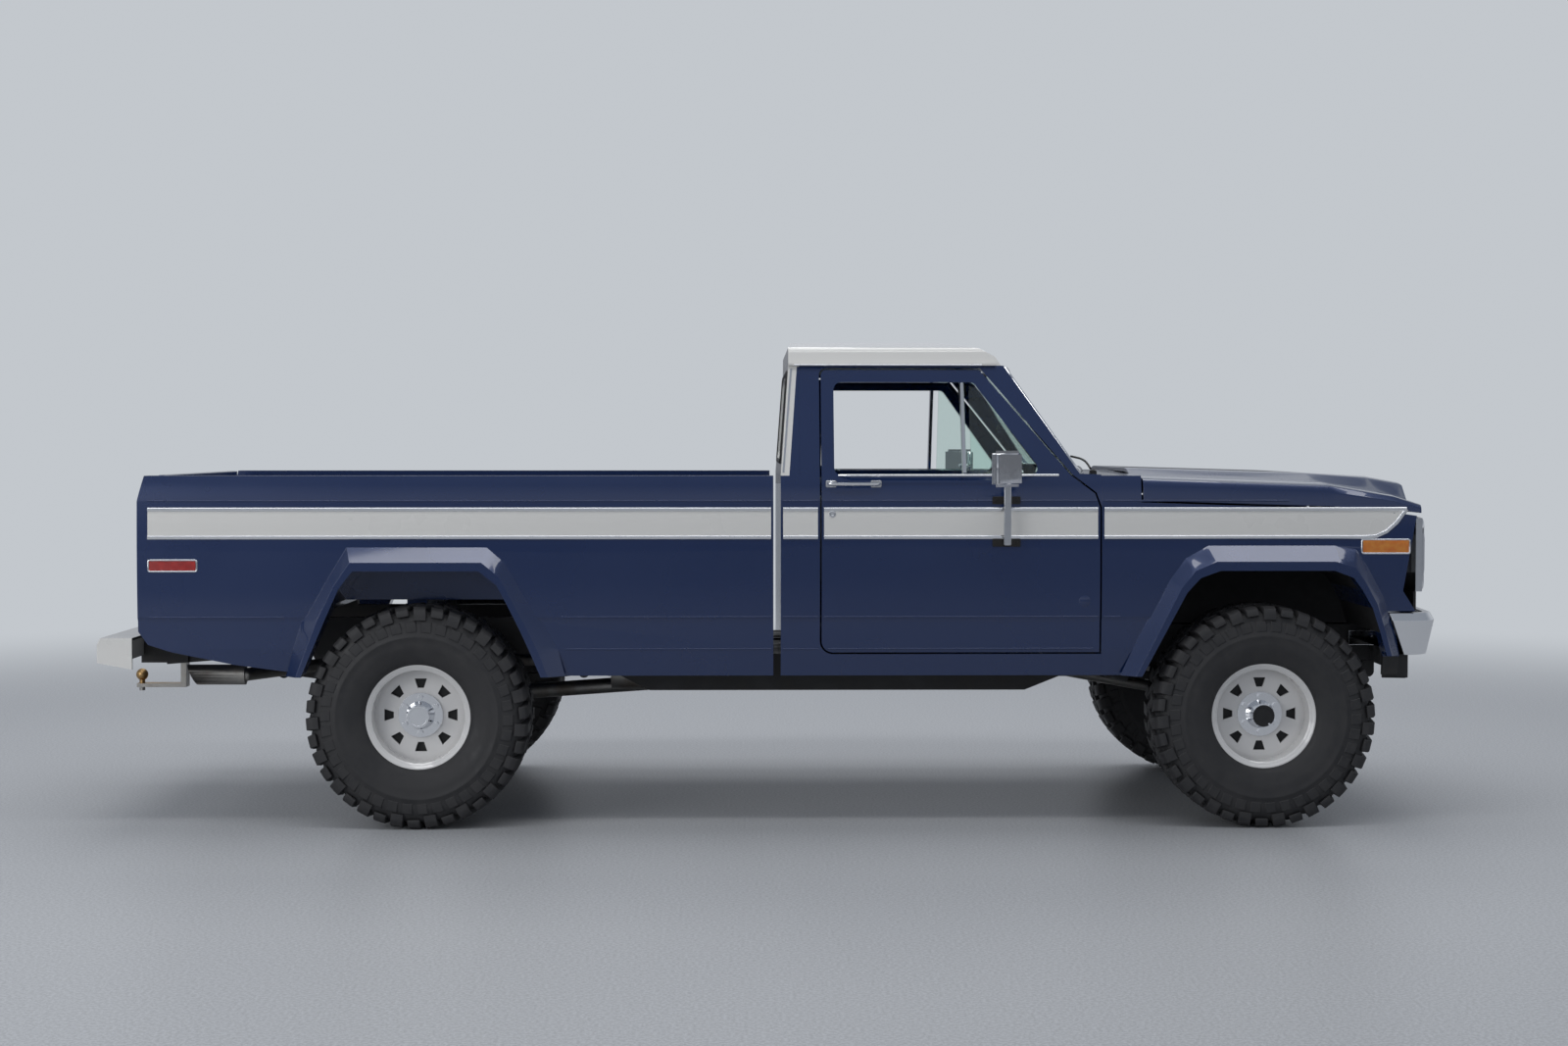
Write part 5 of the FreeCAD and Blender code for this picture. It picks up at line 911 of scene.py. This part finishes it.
divisionBar = {"x": 0.778, "low": 1.390, "high": 1.757, "inset": 0.010, "radius": 0.010}
cornerStrip = {
    "low": 1.384, "high": 1.8125, "lean": 0.0736, "rear": 0.060, "width": 0.034, "front": 0.25,
    "inner": 0.5,
}


def makeDivisionBar(sideName, side):
    # the chrome bar between the side window and the vent glass leans in with the door's frame
    door = skinOf(["door_" + sideName])
    ends = []
    for height in (divisionBar["low"], divisionBar["high"]):
        y = skinY(door, divisionBar["x"], height, side) - side * divisionBar["inset"]
        ends.append(Vector((divisionBar["x"], y, height)))
    path = [ends[0].lerp(ends[1], k / 8) for k in range(9)]
    bar = tubeMesh(path, divisionBar["radius"], 12, 0.75)
    chromeTrim("divisionBar" + sideName, [bar], "door_" + sideName)


def paintCornerStrip():
    # only the rear part of the corner strip is white, the rest is body colour
    piece = bpy.data.objects["roofDressed"]
    line = (cornerStrip["rear"] + cornerStrip["width"], 0, cornerStrip["low"])
    cutFaces(piece, line, (1, 0, -cornerStrip["lean"]))
    cutFaces(piece, (0, 0, cornerStrip["high"]), (0, 0, 1))

    def isAhead(spot):
        edge = line[0] + cornerStrip["lean"] * (spot.z - cornerStrip["low"])
        ahead = edge < spot.x < cornerStrip["front"]
        return ahead and spot.z < cornerStrip["high"] and abs(spot.y) > cornerStrip["inner"]

    paintFaces(piece, bluePaint, isAhead)


def sideLampBox(node, side):
    # the box of the lamp that lies on the body's side, among the node's corners
    spots = [v.co for v in nodes[node].data.vertices if side * v.co.y > 0.90]
    if node == "tail_lamps":
        spots = [spot for spot in spots if side * spot.y > 0.95]
    return tuple(Vector([pick(spot[k] for spot in spots) for k in range(3)]) for pick in (min, max))


grilleFrame = {
    "half": 0.905, "low": 0.940, "high": 1.203, "corner": 0.030, "width": 0.026, "height": 0.010,
}
lampFrame = {
    "y": 0.715, "z": 1.071, "halfWidth": 0.1065, "halfHeight": 0.079, "corner": 0.02,
    "barWidth": 0.016, "barHeight": 0.006, "ringDepth": 0.012,
    "ring": [(0.0, 0.0), (0.0, 0.030), (0.004, 0.056), (0.009, 0.064), (0.011, 0.066), (0.009, 0.068)],
}


def makeLampFrames():
    front, ahead = skinOf(["grille", "headlamps"]), Vector((1, 0, 0))
    half, low, high = grilleFrame["half"], grilleFrame["low"], grilleFrame["high"]
    loop = rectangleLoop(-half, half, low, high, grilleFrame["corner"])
    spots = [(spot, ahead) for spot, normal in castAlongX(front, loop, 2.9, -1)]
    meshes, rings = [surfaceRing(spots, grilleFrame["width"], grilleFrame["height"])], []
    w, h = lampFrame["halfWidth"], lampFrame["halfHeight"]
    for side in sides.values():
        y, z = side * lampFrame["y"], lampFrame["z"]
        loop = rectangleLoop(y - w, y + w, z - h, z + h, lampFrame["corner"])
        spots = castAlongX(front, loop, 2.9, -1)
        deepest = max(spot.x for spot, normal in spots)
        spots = [(Vector((deepest, spot.y, spot.z)), ahead) for spot, normal in spots]
        meshes.append(surfaceRing(spots, lampFrame["barWidth"], lampFrame["barHeight"]))
        rings.append(discMesh((deepest - lampFrame["ringDepth"], y, z), ahead, lampFrame["ring"]))
    chromeTrim("lampFrames", meshes)
    fitted("lampRings", rings, lampGlass, "chassis", "lamp_glass")


# Door handles, locks and mirrors
doorTrim = {
    "handle": (0.245, 0.445, 1.349), "lock": (0.262, 1.232), "gripRadius": 0.0085,
    "pad": (0.042, 0.006, 0.030), "padInset": 0.012,
    "button": [(0, 0.0), (0, 0.011), (0.012, 0.010), (0.014, 0.007), (0.014, 0.0)],
    "lockFace": [(0, 0.0), (0, 0.014), (0.003, 0.013), (0.004, 0.008), (0.0025, 0.0035), (0.0025, 0.0)],
    "head": (0.932, 1.410), "headSize": (0.036, 0.165, 0.140), "headTurn": 43.0, "headInset": 0.078,
    "face": (0.003, 0.145, 0.120), "strapX": 0.942, "strapLow": 1.112, "strapOff": 0.045,
    "brackets": (1.120, 1.286), "mount": (0.110, 0.006, 0.030), "stubRadius": 0.009,
    "bolt": [(0, 0.0), (0, 0.007), (0.003, 0.006), (0.004, 0.0)],
}


def makeHandle(sideName, side, onSkin):
    rear, front, z = doorTrim["handle"]
    ends = [(rear, 0.001), (rear + 0.004, 0.018), (rear + 0.03, 0.024), (front - 0.03, 0.024),
            (front - 0.004, 0.018), (front, 0.001)]
    path = softPath([onSkin(x, z, off) for x, off in ends])
    inset = doorTrim["padInset"]
    pads = [roundBox(onSkin(x, z, 0.002), doorTrim["pad"], 0.0025) for x in (rear + inset, front - inset)]
    button = discMesh(onSkin(rear + inset, z, 0.004), (0, side, 0), doorTrim["button"])
    lock = discMesh(onSkin(*doorTrim["lock"]), (0, side, 0), doorTrim["lockFace"])
    grip = tubeMesh(path, doorTrim["gripRadius"], 12, 0.7)
    chromeTrim("doorHandle" + sideName, [grip, button, lock] + pads, "door_" + sideName)


def makeMirror(sideName, side, onSkin):
    body = "door_" + sideName
    headX, headZ = doorTrim["head"]
    outer = max(abs(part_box("door_hardware_" + sideName)[k][1]) for k in (0, 1))
    headY = side * (outer - doorTrim["headInset"])
    turn = math.radians(doorTrim["headTurn"]) * side
    shell = roundBox((0, 0, 0), doorTrim["headSize"], 0.014, 5)
    face = roundBox((-doorTrim["headSize"][0] / 2 - 0.0008, 0, 0), doorTrim["face"], 0.0012)
    for mesh in (shell, face):
        mesh.transform(Matrix.Translation((headX, headY, headZ)) @ Matrix.Rotation(turn, 4, "Z"))
    strapX, low, radius = doorTrim["strapX"], doorTrim["strapLow"], doorTrim["stubRadius"]
    strapY = side * (abs(onSkin(strapX, doorTrim["brackets"][0]).y) + doorTrim["strapOff"])
    strap = roundBox((strapX, strapY, (low + headZ) / 2), (0.028, 0.007, headZ - low), 0.0025)
    ends = [Vector((strapX, strapY, headZ - 0.01)), Vector((headX, headY, headZ - 0.005))]
    chromeTrim("mirror" + sideName, [shell, strap, tubeMesh(ends, radius, 12)], body)
    fitted("mirrorFace" + sideName, [face], mirrorGlass, body, "bright_metal")
    mounts = []
    for height in doorTrim["brackets"]:
        base = onSkin(strapX, height, 0.003)
        mounts.append(roundBox(base, doorTrim["mount"], 0.002))
        mounts.append(tubeMesh([base, Vector((strapX, strapY, height))], radius, 12))
        for shift in (-0.042, 0.042):
            spot = onSkin(strapX + shift, height, 0.005)
            mounts.append(discMesh(spot, (0, side, 0), doorTrim["bolt"], 12))
    brackets = fitted("mirrorBrackets" + sideName, mounts, darkSteel, body, "bright_metal")
    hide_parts("door_hardware_" + sideName)


def makeDoorTrim(sideName, side):
    door = skinOf(["door_" + sideName])

    def onSkin(x, z, off=0.0):
        return Vector((x, skinY(door, x, z, side) + side * off, z))

    makeHandle(sideName, side, onSkin)
    makeMirror(sideName, side, onSkin)


# body-colour plugs close the hinge pockets in the door's skin
hingePlug = {"x": 1.250, "height": 0.893, "radius": 0.023}


def makeHingePlugs(sideName, side):
    door = skinOf(["door_" + sideName])
    height, radius = hingePlug["height"], hingePlug["radius"]
    y = skinY(door, hingePlug["x"] - 0.03, height, side)
    plugs = [discMesh((hingePlug["x"], y - side * 0.0005, height), (0, side, 0), [
        (0, 0.0), (0, radius), (0.0015, radius * 0.9), (0.002, 0.0)], 24)]
    fitted("hingePlug" + sideName, plugs, bluePaint, "door_" + sideName, "body_paint")


makeGlassTrim()
makeWipers()
makeLampFrames()
for sideName, side in sides.items():
    makeSideTrim(sideName, side)
    makeDoorTrim(sideName, side)
    makeHingePlugs(sideName, side)
    makeDivisionBar(sideName, side)
paintCornerStrip()
print("glass trim, lamp frames, handles and mirrors made")


# Bench seat: two cushions puffed by a short cloth simulation, then sewn channels
seat = {
    "inset": 0.020, "corner": 0.030, "voxel": 0.012, "pressure": 4.0, "frames": 20, "cap": 0.024,
    "channels": 15, "channelDepth": 0.006, "channelWidth": 0.006, "lean": 0.060, "backWall": 0.130,
    "top": 1.010, "margin": 0.12, "fill": 0.6,
}


def setRemesh(step):
    step.mode = "VOXEL"
    step.voxel_size = seat["voxel"]


def setSmoothing(step):
    step.levels = step.render_levels = 1


def puffed(mesh):
    # pressure swells the cushion, and no point may move further than the cap
    start = [vert.co.copy() for vert in mesh.vertices]
    holder = linked("puffing", mesh)
    cloth = holder.modifiers.new("cloth", "CLOTH")
    cloth.settings.use_pressure = True
    cloth.settings.uniform_pressure_force = seat["pressure"]
    cloth.settings.effector_weights.gravity = 0.0
    cloth.point_cache.frame_start, cloth.point_cache.frame_end = 1, seat["frames"]
    scene = bpy.context.scene
    for frameNumber in range(1, seat["frames"] + 1):
        scene.frame_set(frameNumber)
    graph = bpy.context.evaluated_depsgraph_get()
    result = bpy.data.meshes.new_from_object(holder.evaluated_get(graph))
    for vert, first in zip(result.vertices, start):
        move = vert.co - first
        if move.length > seat["cap"]:
            vert.co = first + move.normalized() * seat["cap"]
    bpy.data.objects.remove(holder)
    scene.frame_set(1)
    return result


def sewn(mesh, half, isTop):
    # channels run the short way over the face that one sits on or leans against
    pitch = 2 * half / seat["channels"]
    normals = [vert.normal.copy() for vert in mesh.vertices]
    for vert, normal in zip(mesh.vertices, normals):
        away = abs((vert.co.y / pitch) - round(vert.co.y / pitch)) * pitch
        share = math.exp(-((away / seat["channelWidth"]) ** 2)) * max(0.0, isTop(normal))
        if abs(vert.co.y) < half - seat["margin"] / 2:
            vert.co -= normal * seat["channelDepth"] * share
    return mesh


def makeSeat():
    low, high = (Vector(corner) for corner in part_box("bench_seat"))
    inset, half = seat["inset"], (high.y - low.y) / 2
    backFront = low.x + seat["backWall"] + seat["lean"] * 0.55
    forms = {
        "seatBase": ((backFront + inset * 0.3, high.x - inset), (low.z + inset, seat["top"] - inset), 0.0,
                     lambda normal: normal.z),
        "seatBack": ((low.x + inset, low.x + seat["backWall"] - inset), (low.z + inset, high.z - inset),
                     seat["lean"], lambda normal: normal.x),
    }
    for name, (xs, zs, lean, isTop) in forms.items():
        center = (sum(xs) / 2, 0, sum(zs) / 2)
        size = (xs[1] - xs[0], 2 * (half - inset), zs[1] - zs[0])
        mesh = roundBox(center, size, seat["corner"], 4)
        for vert in mesh.vertices:
            vert.co.x += lean * (1 - (vert.co.z - low.z) / (high.z - low.z))
        mesh = evaluated(mesh, "REMESH", setRemesh)
        mesh = puffed(mesh)
        mesh = evaluated(mesh, "SUBSURF", setSmoothing)
        mesh = sewn(mesh, half, isTop)
        cushion = fitted(name, [mesh], clothSeat, "chassis", "seat_fabric", 180.0)
        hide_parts("bench_seat")


# Cabin: lining, door panels, gauges, pedals and mirror
cabin = {
    "linerX": (0.150, 0.800), "linerHalf": 0.64, "linerStep": 0.05, "linerWall": 0.004,
    "visor": (0.150, 0.400, 0.014), "visorX": 0.775, "visorY": 0.36, "visorZ": 1.792,
    "mirror": (0.018, 0.220, 0.055), "mirrorPlace": (0.850, 0, 1.735),
    "stem": [Vector((0.850, 0, 1.755)), Vector((0.870, 0, 1.800))],
}
dash = {
    "eyeX": 0.4, "gauges": ((0.265, 0.048), (0.380, 0.054), (0.495, 0.048)), "gaugeHeight": 1.262,
    "needleLength": 0.028, "needleStart": 0.6, "needleOff": 0.0045, "needleRadius": 0.0012,
    "plate": (0.02, 1.225), "plateSize": (0.010, 0.185, 0.052), "knobShift": 0.075,
    "knob": [(0, 0.0), (0, 0.012), (0.014, 0.010), (0.016, 0.0)],
    "box": (-0.62, -0.30, 1.165, 1.295, 0.02), "boxLine": (0.005, 0.0025),
}
pedal = {
    "x": 1.14, "z": 0.83, "rows": ((0.275, 0.055), (0.375, 0.075), (0.475, 0.045)),
    "knee": (0.06, 0, 0.10), "top": (0.245, 0, 0.20), "radius": 0.008,
}


def sheetGrid(tree, firsts, seconds, toSpot, toward, off, wall):
    # a thin panel that lies off the surface by off and has its own thickness
    form = bmesh.new()
    toward = Vector(toward)
    rows = []
    last = None
    for a in firsts:
        row = []
        for b in seconds:
            spot = tree.ray_cast(toSpot(a, b), toward)[0]
            last = spot if spot is not None else last
            row.append(last)
        rows.append(row)
    low, high = ([[form.verts.new(spot - toward * depth) for spot in row] for row in rows]
                 for depth in (off, off + wall))
    for sheet in (low, high):
        for first, second in zip(sheet, sheet[1:]):
            for k in range(len(first) - 1):
                form.faces.new((first[k], second[k], second[k + 1], first[k + 1]))
    lastRow, lastSpot = len(rows) - 1, len(rows[0]) - 1
    edge = [(i, 0) for i in range(lastRow + 1)] + [(lastRow, k) for k in range(1, lastSpot + 1)]
    edge += [(i, lastSpot) for i in range(lastRow - 1, -1, -1)]
    edge += [(0, k) for k in range(lastSpot - 1, 0, -1)]
    for (i, k), (m, n) in zip(edge, edge[1:] + edge[:1]):
        form.faces.new((low[i][k], low[m][n], high[m][n], high[i][k]))
    return fromForm(form, "panel", 0.0)


def makeDash():
    tree = skinOf(["dashboard"])
    faces, rings, needles = [], [], []

    def seen(y, z):
        return tree.ray_cast(Vector((dash["eyeX"], y, z)), Vector((1, 0, 0)))[0]

    for k, (y, radius) in enumerate(dash["gauges"]):
        spot = seen(y, dash["gaugeHeight"])
        if spot is None:
            continue
        face = [(-0.002, 0.0), (0.002, 0.0), (0.002, radius - 0.004)]
        ring = [(0.0, radius - 0.005), (0.008, radius - 0.004), (0.010, radius),
                (0.006, radius + 0.003), (0.0, radius + 0.004)]
        faces.append(discMesh(spot, (-1, 0, 0), face))
        rings.append(discMesh(spot, (-1, 0, 0), ring))
        angle, reach, off = k + dash["needleStart"], dash["needleLength"], dash["needleOff"]
        tip = spot + Vector((-off, reach * math.cos(angle), reach * math.sin(angle)))
        needles.append(tubeMesh([spot + Vector((-off, 0, 0)), tip], dash["needleRadius"], 6))
    plate = seen(*dash["plate"])
    if plate is not None:
        faces.append(roundBox(plate + Vector((-0.002, 0, 0)), dash["plateSize"], 0.003))
        for shift in (-dash["knobShift"], dash["knobShift"]):
            spot = plate + Vector((-0.006, shift, 0))
            rings.append(discMesh(spot, (-1, 0, 0), dash["knob"]))
    spots = castAlongX(tree, rectangleLoop(*dash["box"]), dash["eyeX"], 1)
    if len(spots) > 3:
        rings.append(surfaceRing(spots, *dash["boxLine"]))
    fitted("gaugeFaces", faces, softBlack, "chassis", "cabin_plastic")
    chromeTrim("gaugeRings", rings)
    fitted("gaugeNeedles", needles, whitePaint, "chassis", "white_paint")


def makePedals():
    pedals = []
    for y, wide in pedal["rows"]:
        foot = Vector((pedal["x"], y, pedal["z"]))
        arm = softPath([foot, foot + Vector(pedal["knee"]), foot + Vector(pedal["top"])])
        pedals.append(roundBox(foot, (0.016, wide, 0.075), 0.004))
        pedals.append(tubeMesh(arm, pedal["radius"], 8))
    fitted("pedals", pedals, softBlack, "chassis", "cabin_plastic")


def makeCabin():
    half, step, wall = cabin["linerHalf"], cabin["linerStep"], cabin["linerWall"]
    liner = sheetGrid(skinOf(["roof"]), stations(*cabin["linerX"], step), stations(-half, half, step),
                      lambda x, y: Vector((x, y, 1.60)), (0, 0, 1), wall, wall)
    fitted("headliner", [liner], linerCloth, "chassis", "seat_fabric", 60.0)
    visors = [roundBox((cabin["visorX"], side * cabin["visorY"], cabin["visorZ"]), cabin["visor"], 0.006)
              for side in (-1, 1)]
    fitted("sunVisors", visors, linerCloth, "chassis", "seat_fabric")
    makeDash()
    makePedals()
    back = roundBox(cabin["mirrorPlace"], cabin["mirror"], 0.008)
    stem = tubeMesh(cabin["stem"], 0.006, 10)
    fitted("cabinMirror", [back, stem], softBlack, "chassis", "cabin_plastic")


doorPanel = {
    "x": (0.300, 1.170), "z": (0.790, 1.330), "step": 0.03, "off": 0.002, "wall": 0.006,
    "rest": (0.300, 0.056, 0.050), "restX": 0.70, "restZ": 1.08, "restOff": 0.026,
    "boss": [(0, 0.0), (0, 0.024), (0.012, 0.018), (0.016, 0.0)],
    "knob": [(0, 0.0), (0, 0.010), (0.020, 0.013), (0.026, 0.010), (0.028, 0.0)],
    "crank": ((0.92, 0.014, 1.02), (0.96, 0.024, 1.04), (1.02, 0.026, 1.06)), "crankRadius": 0.007,
}


def makeDoorPanel(sideName, side):
    tree = skinOf(["door_" + sideName])
    body = "door_" + sideName
    step = doorPanel["step"]
    panel = sheetGrid(tree, stations(*doorPanel["x"], step), stations(*doorPanel["z"], step),
                      lambda x, z: Vector((x, side * 0.5, z)), (0, side, 0),
                      doorPanel["off"], doorPanel["wall"])
    fitted("doorPanel" + sideName, [panel], cabinPlastic, body, "cabin_plastic")
    restZ = doorPanel["restZ"]
    spot = tree.ray_cast(Vector((0.72, side * 0.5, restZ)), Vector((0, side, 0)))[0]
    if spot is None:
        return
    face = spot.y - side * 0.008
    center = (doorPanel["restX"], face - side * doorPanel["restOff"], restZ)
    rest = roundBox(center, doorPanel["rest"], 0.018, 5)
    fitted("armRest" + sideName, [rest], cabinPlastic, body, "cabin_plastic")
    crank = [Vector((x, face - side * off, z)) for x, off, z in doorPanel["crank"]]
    boss = discMesh((crank[0].x, face, crank[0].z), (0, -side, 0), doorPanel["boss"])
    arm = tubeMesh(softPath(crank), doorPanel["crankRadius"], 10)
    knob = discMesh(crank[-1], (0, -side, 0), doorPanel["knob"])
    chromeTrim("windowCrank" + sideName, [boss, arm, knob], body)


makeSeat()
makeCabin()
for sideName, side in sides.items():
    makeDoorPanel(sideName, side)
print("seat, lining, gauges and door panels made")


# Tailgate handle and its pressed surround
gateTrim = {
    "height": 1.170, "half": 0.085, "frameHalf": 0.115, "frameRise": 0.040, "frameCorner": 0.012,
    "barWidth": 0.010, "barHeight": 0.004, "paddleDepth": 0.014, "paddleHeight": 0.038,
}


def makeGateTrim():
    gate = skinOf(["tailgate"])
    half, rise, z = gateTrim["frameHalf"], gateTrim["frameRise"], gateTrim["height"]
    spot = gate.ray_cast(Vector((-3.0, 0, z)), Vector((1, 0, 0)))[0]
    if spot is None:
        return
    loop = rectangleLoop(-half, half, z - rise, z + rise, gateTrim["frameCorner"])
    frameBar = surfaceRing(
        castAlongX(gate, loop, -3.0, 1), gateTrim["barWidth"], gateTrim["barHeight"]
    )
    size = (gateTrim["paddleDepth"], gateTrim["half"] * 2, gateTrim["paddleHeight"])
    paddle = roundBox(spot + Vector((-0.007, 0, -0.004)), size, 0.005)
    chromeTrim("gateHandle", [frameBar, paddle], "tailgate")


makeGateTrim()
print("tailgate handle made")


# Floor, light and camera
floorSettings = {
    "size": 160.0, "color": (0.46, 0.47, 0.485), "roughness": 0.42,
    "fadeStart": 5.0, "fadeEnd": 11.0, "backdrop": (0.545, 0.575, 0.610),
}
lampSettings = {
    "key": {"place": (0.5, -4.2, 8.6), "aim": (0.2, 0, 0.8), "power": 210, "size": (12.0, 1.2)},
    "fill": {"place": (-7.0, -7.0, 3.2), "aim": (-0.5, 0, 0.9), "power": 200, "size": (5.0, 5.0)},
    "top": {"place": (0.0, 1.2, 8.0), "aim": (0, 0, 0.5), "power": 180, "size": (9.0, 4.0)},
    "rear": {"place": (0.0, 6.5, 8.0), "aim": (0, 0, 1.0), "power": 170, "size": (8.0, 3.0)},
}
cameraSettings = {
    "place": (-0.064, -10.550, 1.512), "turn": (88.124, 0.0, -0.815), "lens": 56.45,
    "sensor": 36.0, "clipEnd": 200.0,
}
# the room that chrome reflects: dark near the ground, bright above it, dimmer overhead
roomSettings = {
    "strength": 0.85,
    "stops": [
        (0.02, (0.16, 0.17, 0.19, 1)), (0.95, (0.34, 0.37, 0.42, 1)), (0.12, (0.62, 0.65, 0.70, 1)),
        (0.30, (0.52, 0.55, 0.60, 1)), (0.5, (0.30, 0.33, 0.38, 1)),
    ],
}


def seenDirectly(tree):
    # one where the camera sees a thing itself or through glass
    path = tree.nodes.new("ShaderNodeLightPath").outputs
    return mathNode(tree, "MAXIMUM", path["Is Camera Ray"], path["Is Transmission Ray"])


def mixShaders(tree, share, first, second, target):
    mix = tree.nodes.new("ShaderNodeMixShader")
    for socket, source in enumerate((share, first, second)):
        tree.links.new(source, mix.inputs[socket])
    tree.links.new(mix.outputs[0], target)


def makeFloor():
    material, tree, shader = startMaterial(
        "floorPaint", floorSettings["color"], floorSettings["roughness"]
    )
    dark = tuple(part * 0.86 for part in floorSettings["color"])
    light = tuple(part * 1.12 for part in floorSettings["color"])
    vary(tree, shader, "Base Color", noise(tree, 90.0, 3.0, 0.7), dark, light, 0.42, 0.58)
    # far from the object the floor turns into the plain backdrop
    distance = tree.nodes.new("ShaderNodeVectorMath")
    distance.operation = "LENGTH"
    tree.links.new(place(tree), distance.inputs[0])
    fade = tree.nodes.new("ShaderNodeMapRange")
    fade.interpolation_type = "SMOOTHSTEP"
    fade.inputs["From Min"].default_value = floorSettings["fadeStart"]
    fade.inputs["From Max"].default_value = floorSettings["fadeEnd"]
    tree.links.new(distance.outputs["Value"], fade.inputs["Value"])
    share = mathNode(tree, "MULTIPLY", fade.outputs["Result"], seenDirectly(tree))
    glow = tree.nodes.new("ShaderNodeEmission")
    glow.inputs["Color"].default_value = (*floorSettings["backdrop"], 1)
    mixShaders(tree, share, shader.outputs[0], glow.outputs[0],
               tree.nodes["Material Output"].inputs["Surface"])
    form = bmesh.new()
    half = floorSettings["size"] / 2
    corners = [(-half, -half, 0), (half, -half, 0), (half, half, 0), (-half, half, 0)]
    form.faces.new([form.verts.new(corner) for corner in corners])
    mesh = savedForm(form, "floor")
    mesh.materials.append(material)
    floor = linked("floor", mesh)


def makeWorld():
    world = bpy.data.worlds.new("studio")
    bpy.context.scene.world = world
    world.use_nodes = True
    tree = world.node_tree
    tree.nodes.clear()
    out = tree.nodes.new("ShaderNodeOutputWorld")
    soft, seen = tree.nodes.new("ShaderNodeBackground"), tree.nodes.new("ShaderNodeBackground")
    coords = tree.nodes.new("ShaderNodeTexCoord")
    parts = tree.nodes.new("ShaderNodeSeparateXYZ")
    shades = tree.nodes.new("ShaderNodeValToRGB")
    stops = shades.color_ramp.elements
    stops[0].position, stops[0].color = roomSettings["stops"][0]
    stops[1].position, stops[1].color = roomSettings["stops"][1]
    for position, color in roomSettings["stops"][2:]:
        stops.new(position).color = color
    tree.links.new(coords.outputs["Generated"], parts.inputs[0])
    tree.links.new(parts.outputs["Z"], shades.inputs[0])
    tree.links.new(shades.outputs[0], soft.inputs["Color"])
    soft.inputs["Strength"].default_value = roomSettings["strength"]
    seen.inputs["Color"].default_value = (*floorSettings["backdrop"], 1)
    seen.inputs["Strength"].default_value = 1.0
    mixShaders(tree, seenDirectly(tree), soft.outputs[0], seen.outputs[0], out.inputs[0])


def makeLamp(name, settings):
    light = bpy.data.lights.new(name, "AREA")
    light.shape = "RECTANGLE"
    light.size, light.size_y = settings["size"]
    light.energy = settings["power"]
    lamp = linked(name, light)
    lamp.location = settings["place"]
    aim = Vector(settings["aim"]) - Vector(settings["place"])
    lamp.rotation_euler = aim.to_track_quat("-Z", "Y").to_euler()


def makeCamera():
    lens = bpy.data.cameras.new("camera")
    lens.lens = cameraSettings["lens"]
    lens.sensor_width = cameraSettings["sensor"]
    lens.clip_end = cameraSettings["clipEnd"]
    camera = linked("camera", lens)
    camera.location = cameraSettings["place"]
    camera.rotation_euler = Euler([math.radians(a) for a in cameraSettings["turn"]])
    bpy.context.scene.camera = camera


makeFloor()
makeWorld()
for lampName, lampValues in lampSettings.items():
    makeLamp(lampName, lampValues)
makeCamera()
bpy.context.scene.view_settings.view_transform = "Standard"
print("floor, lamps and camera set")
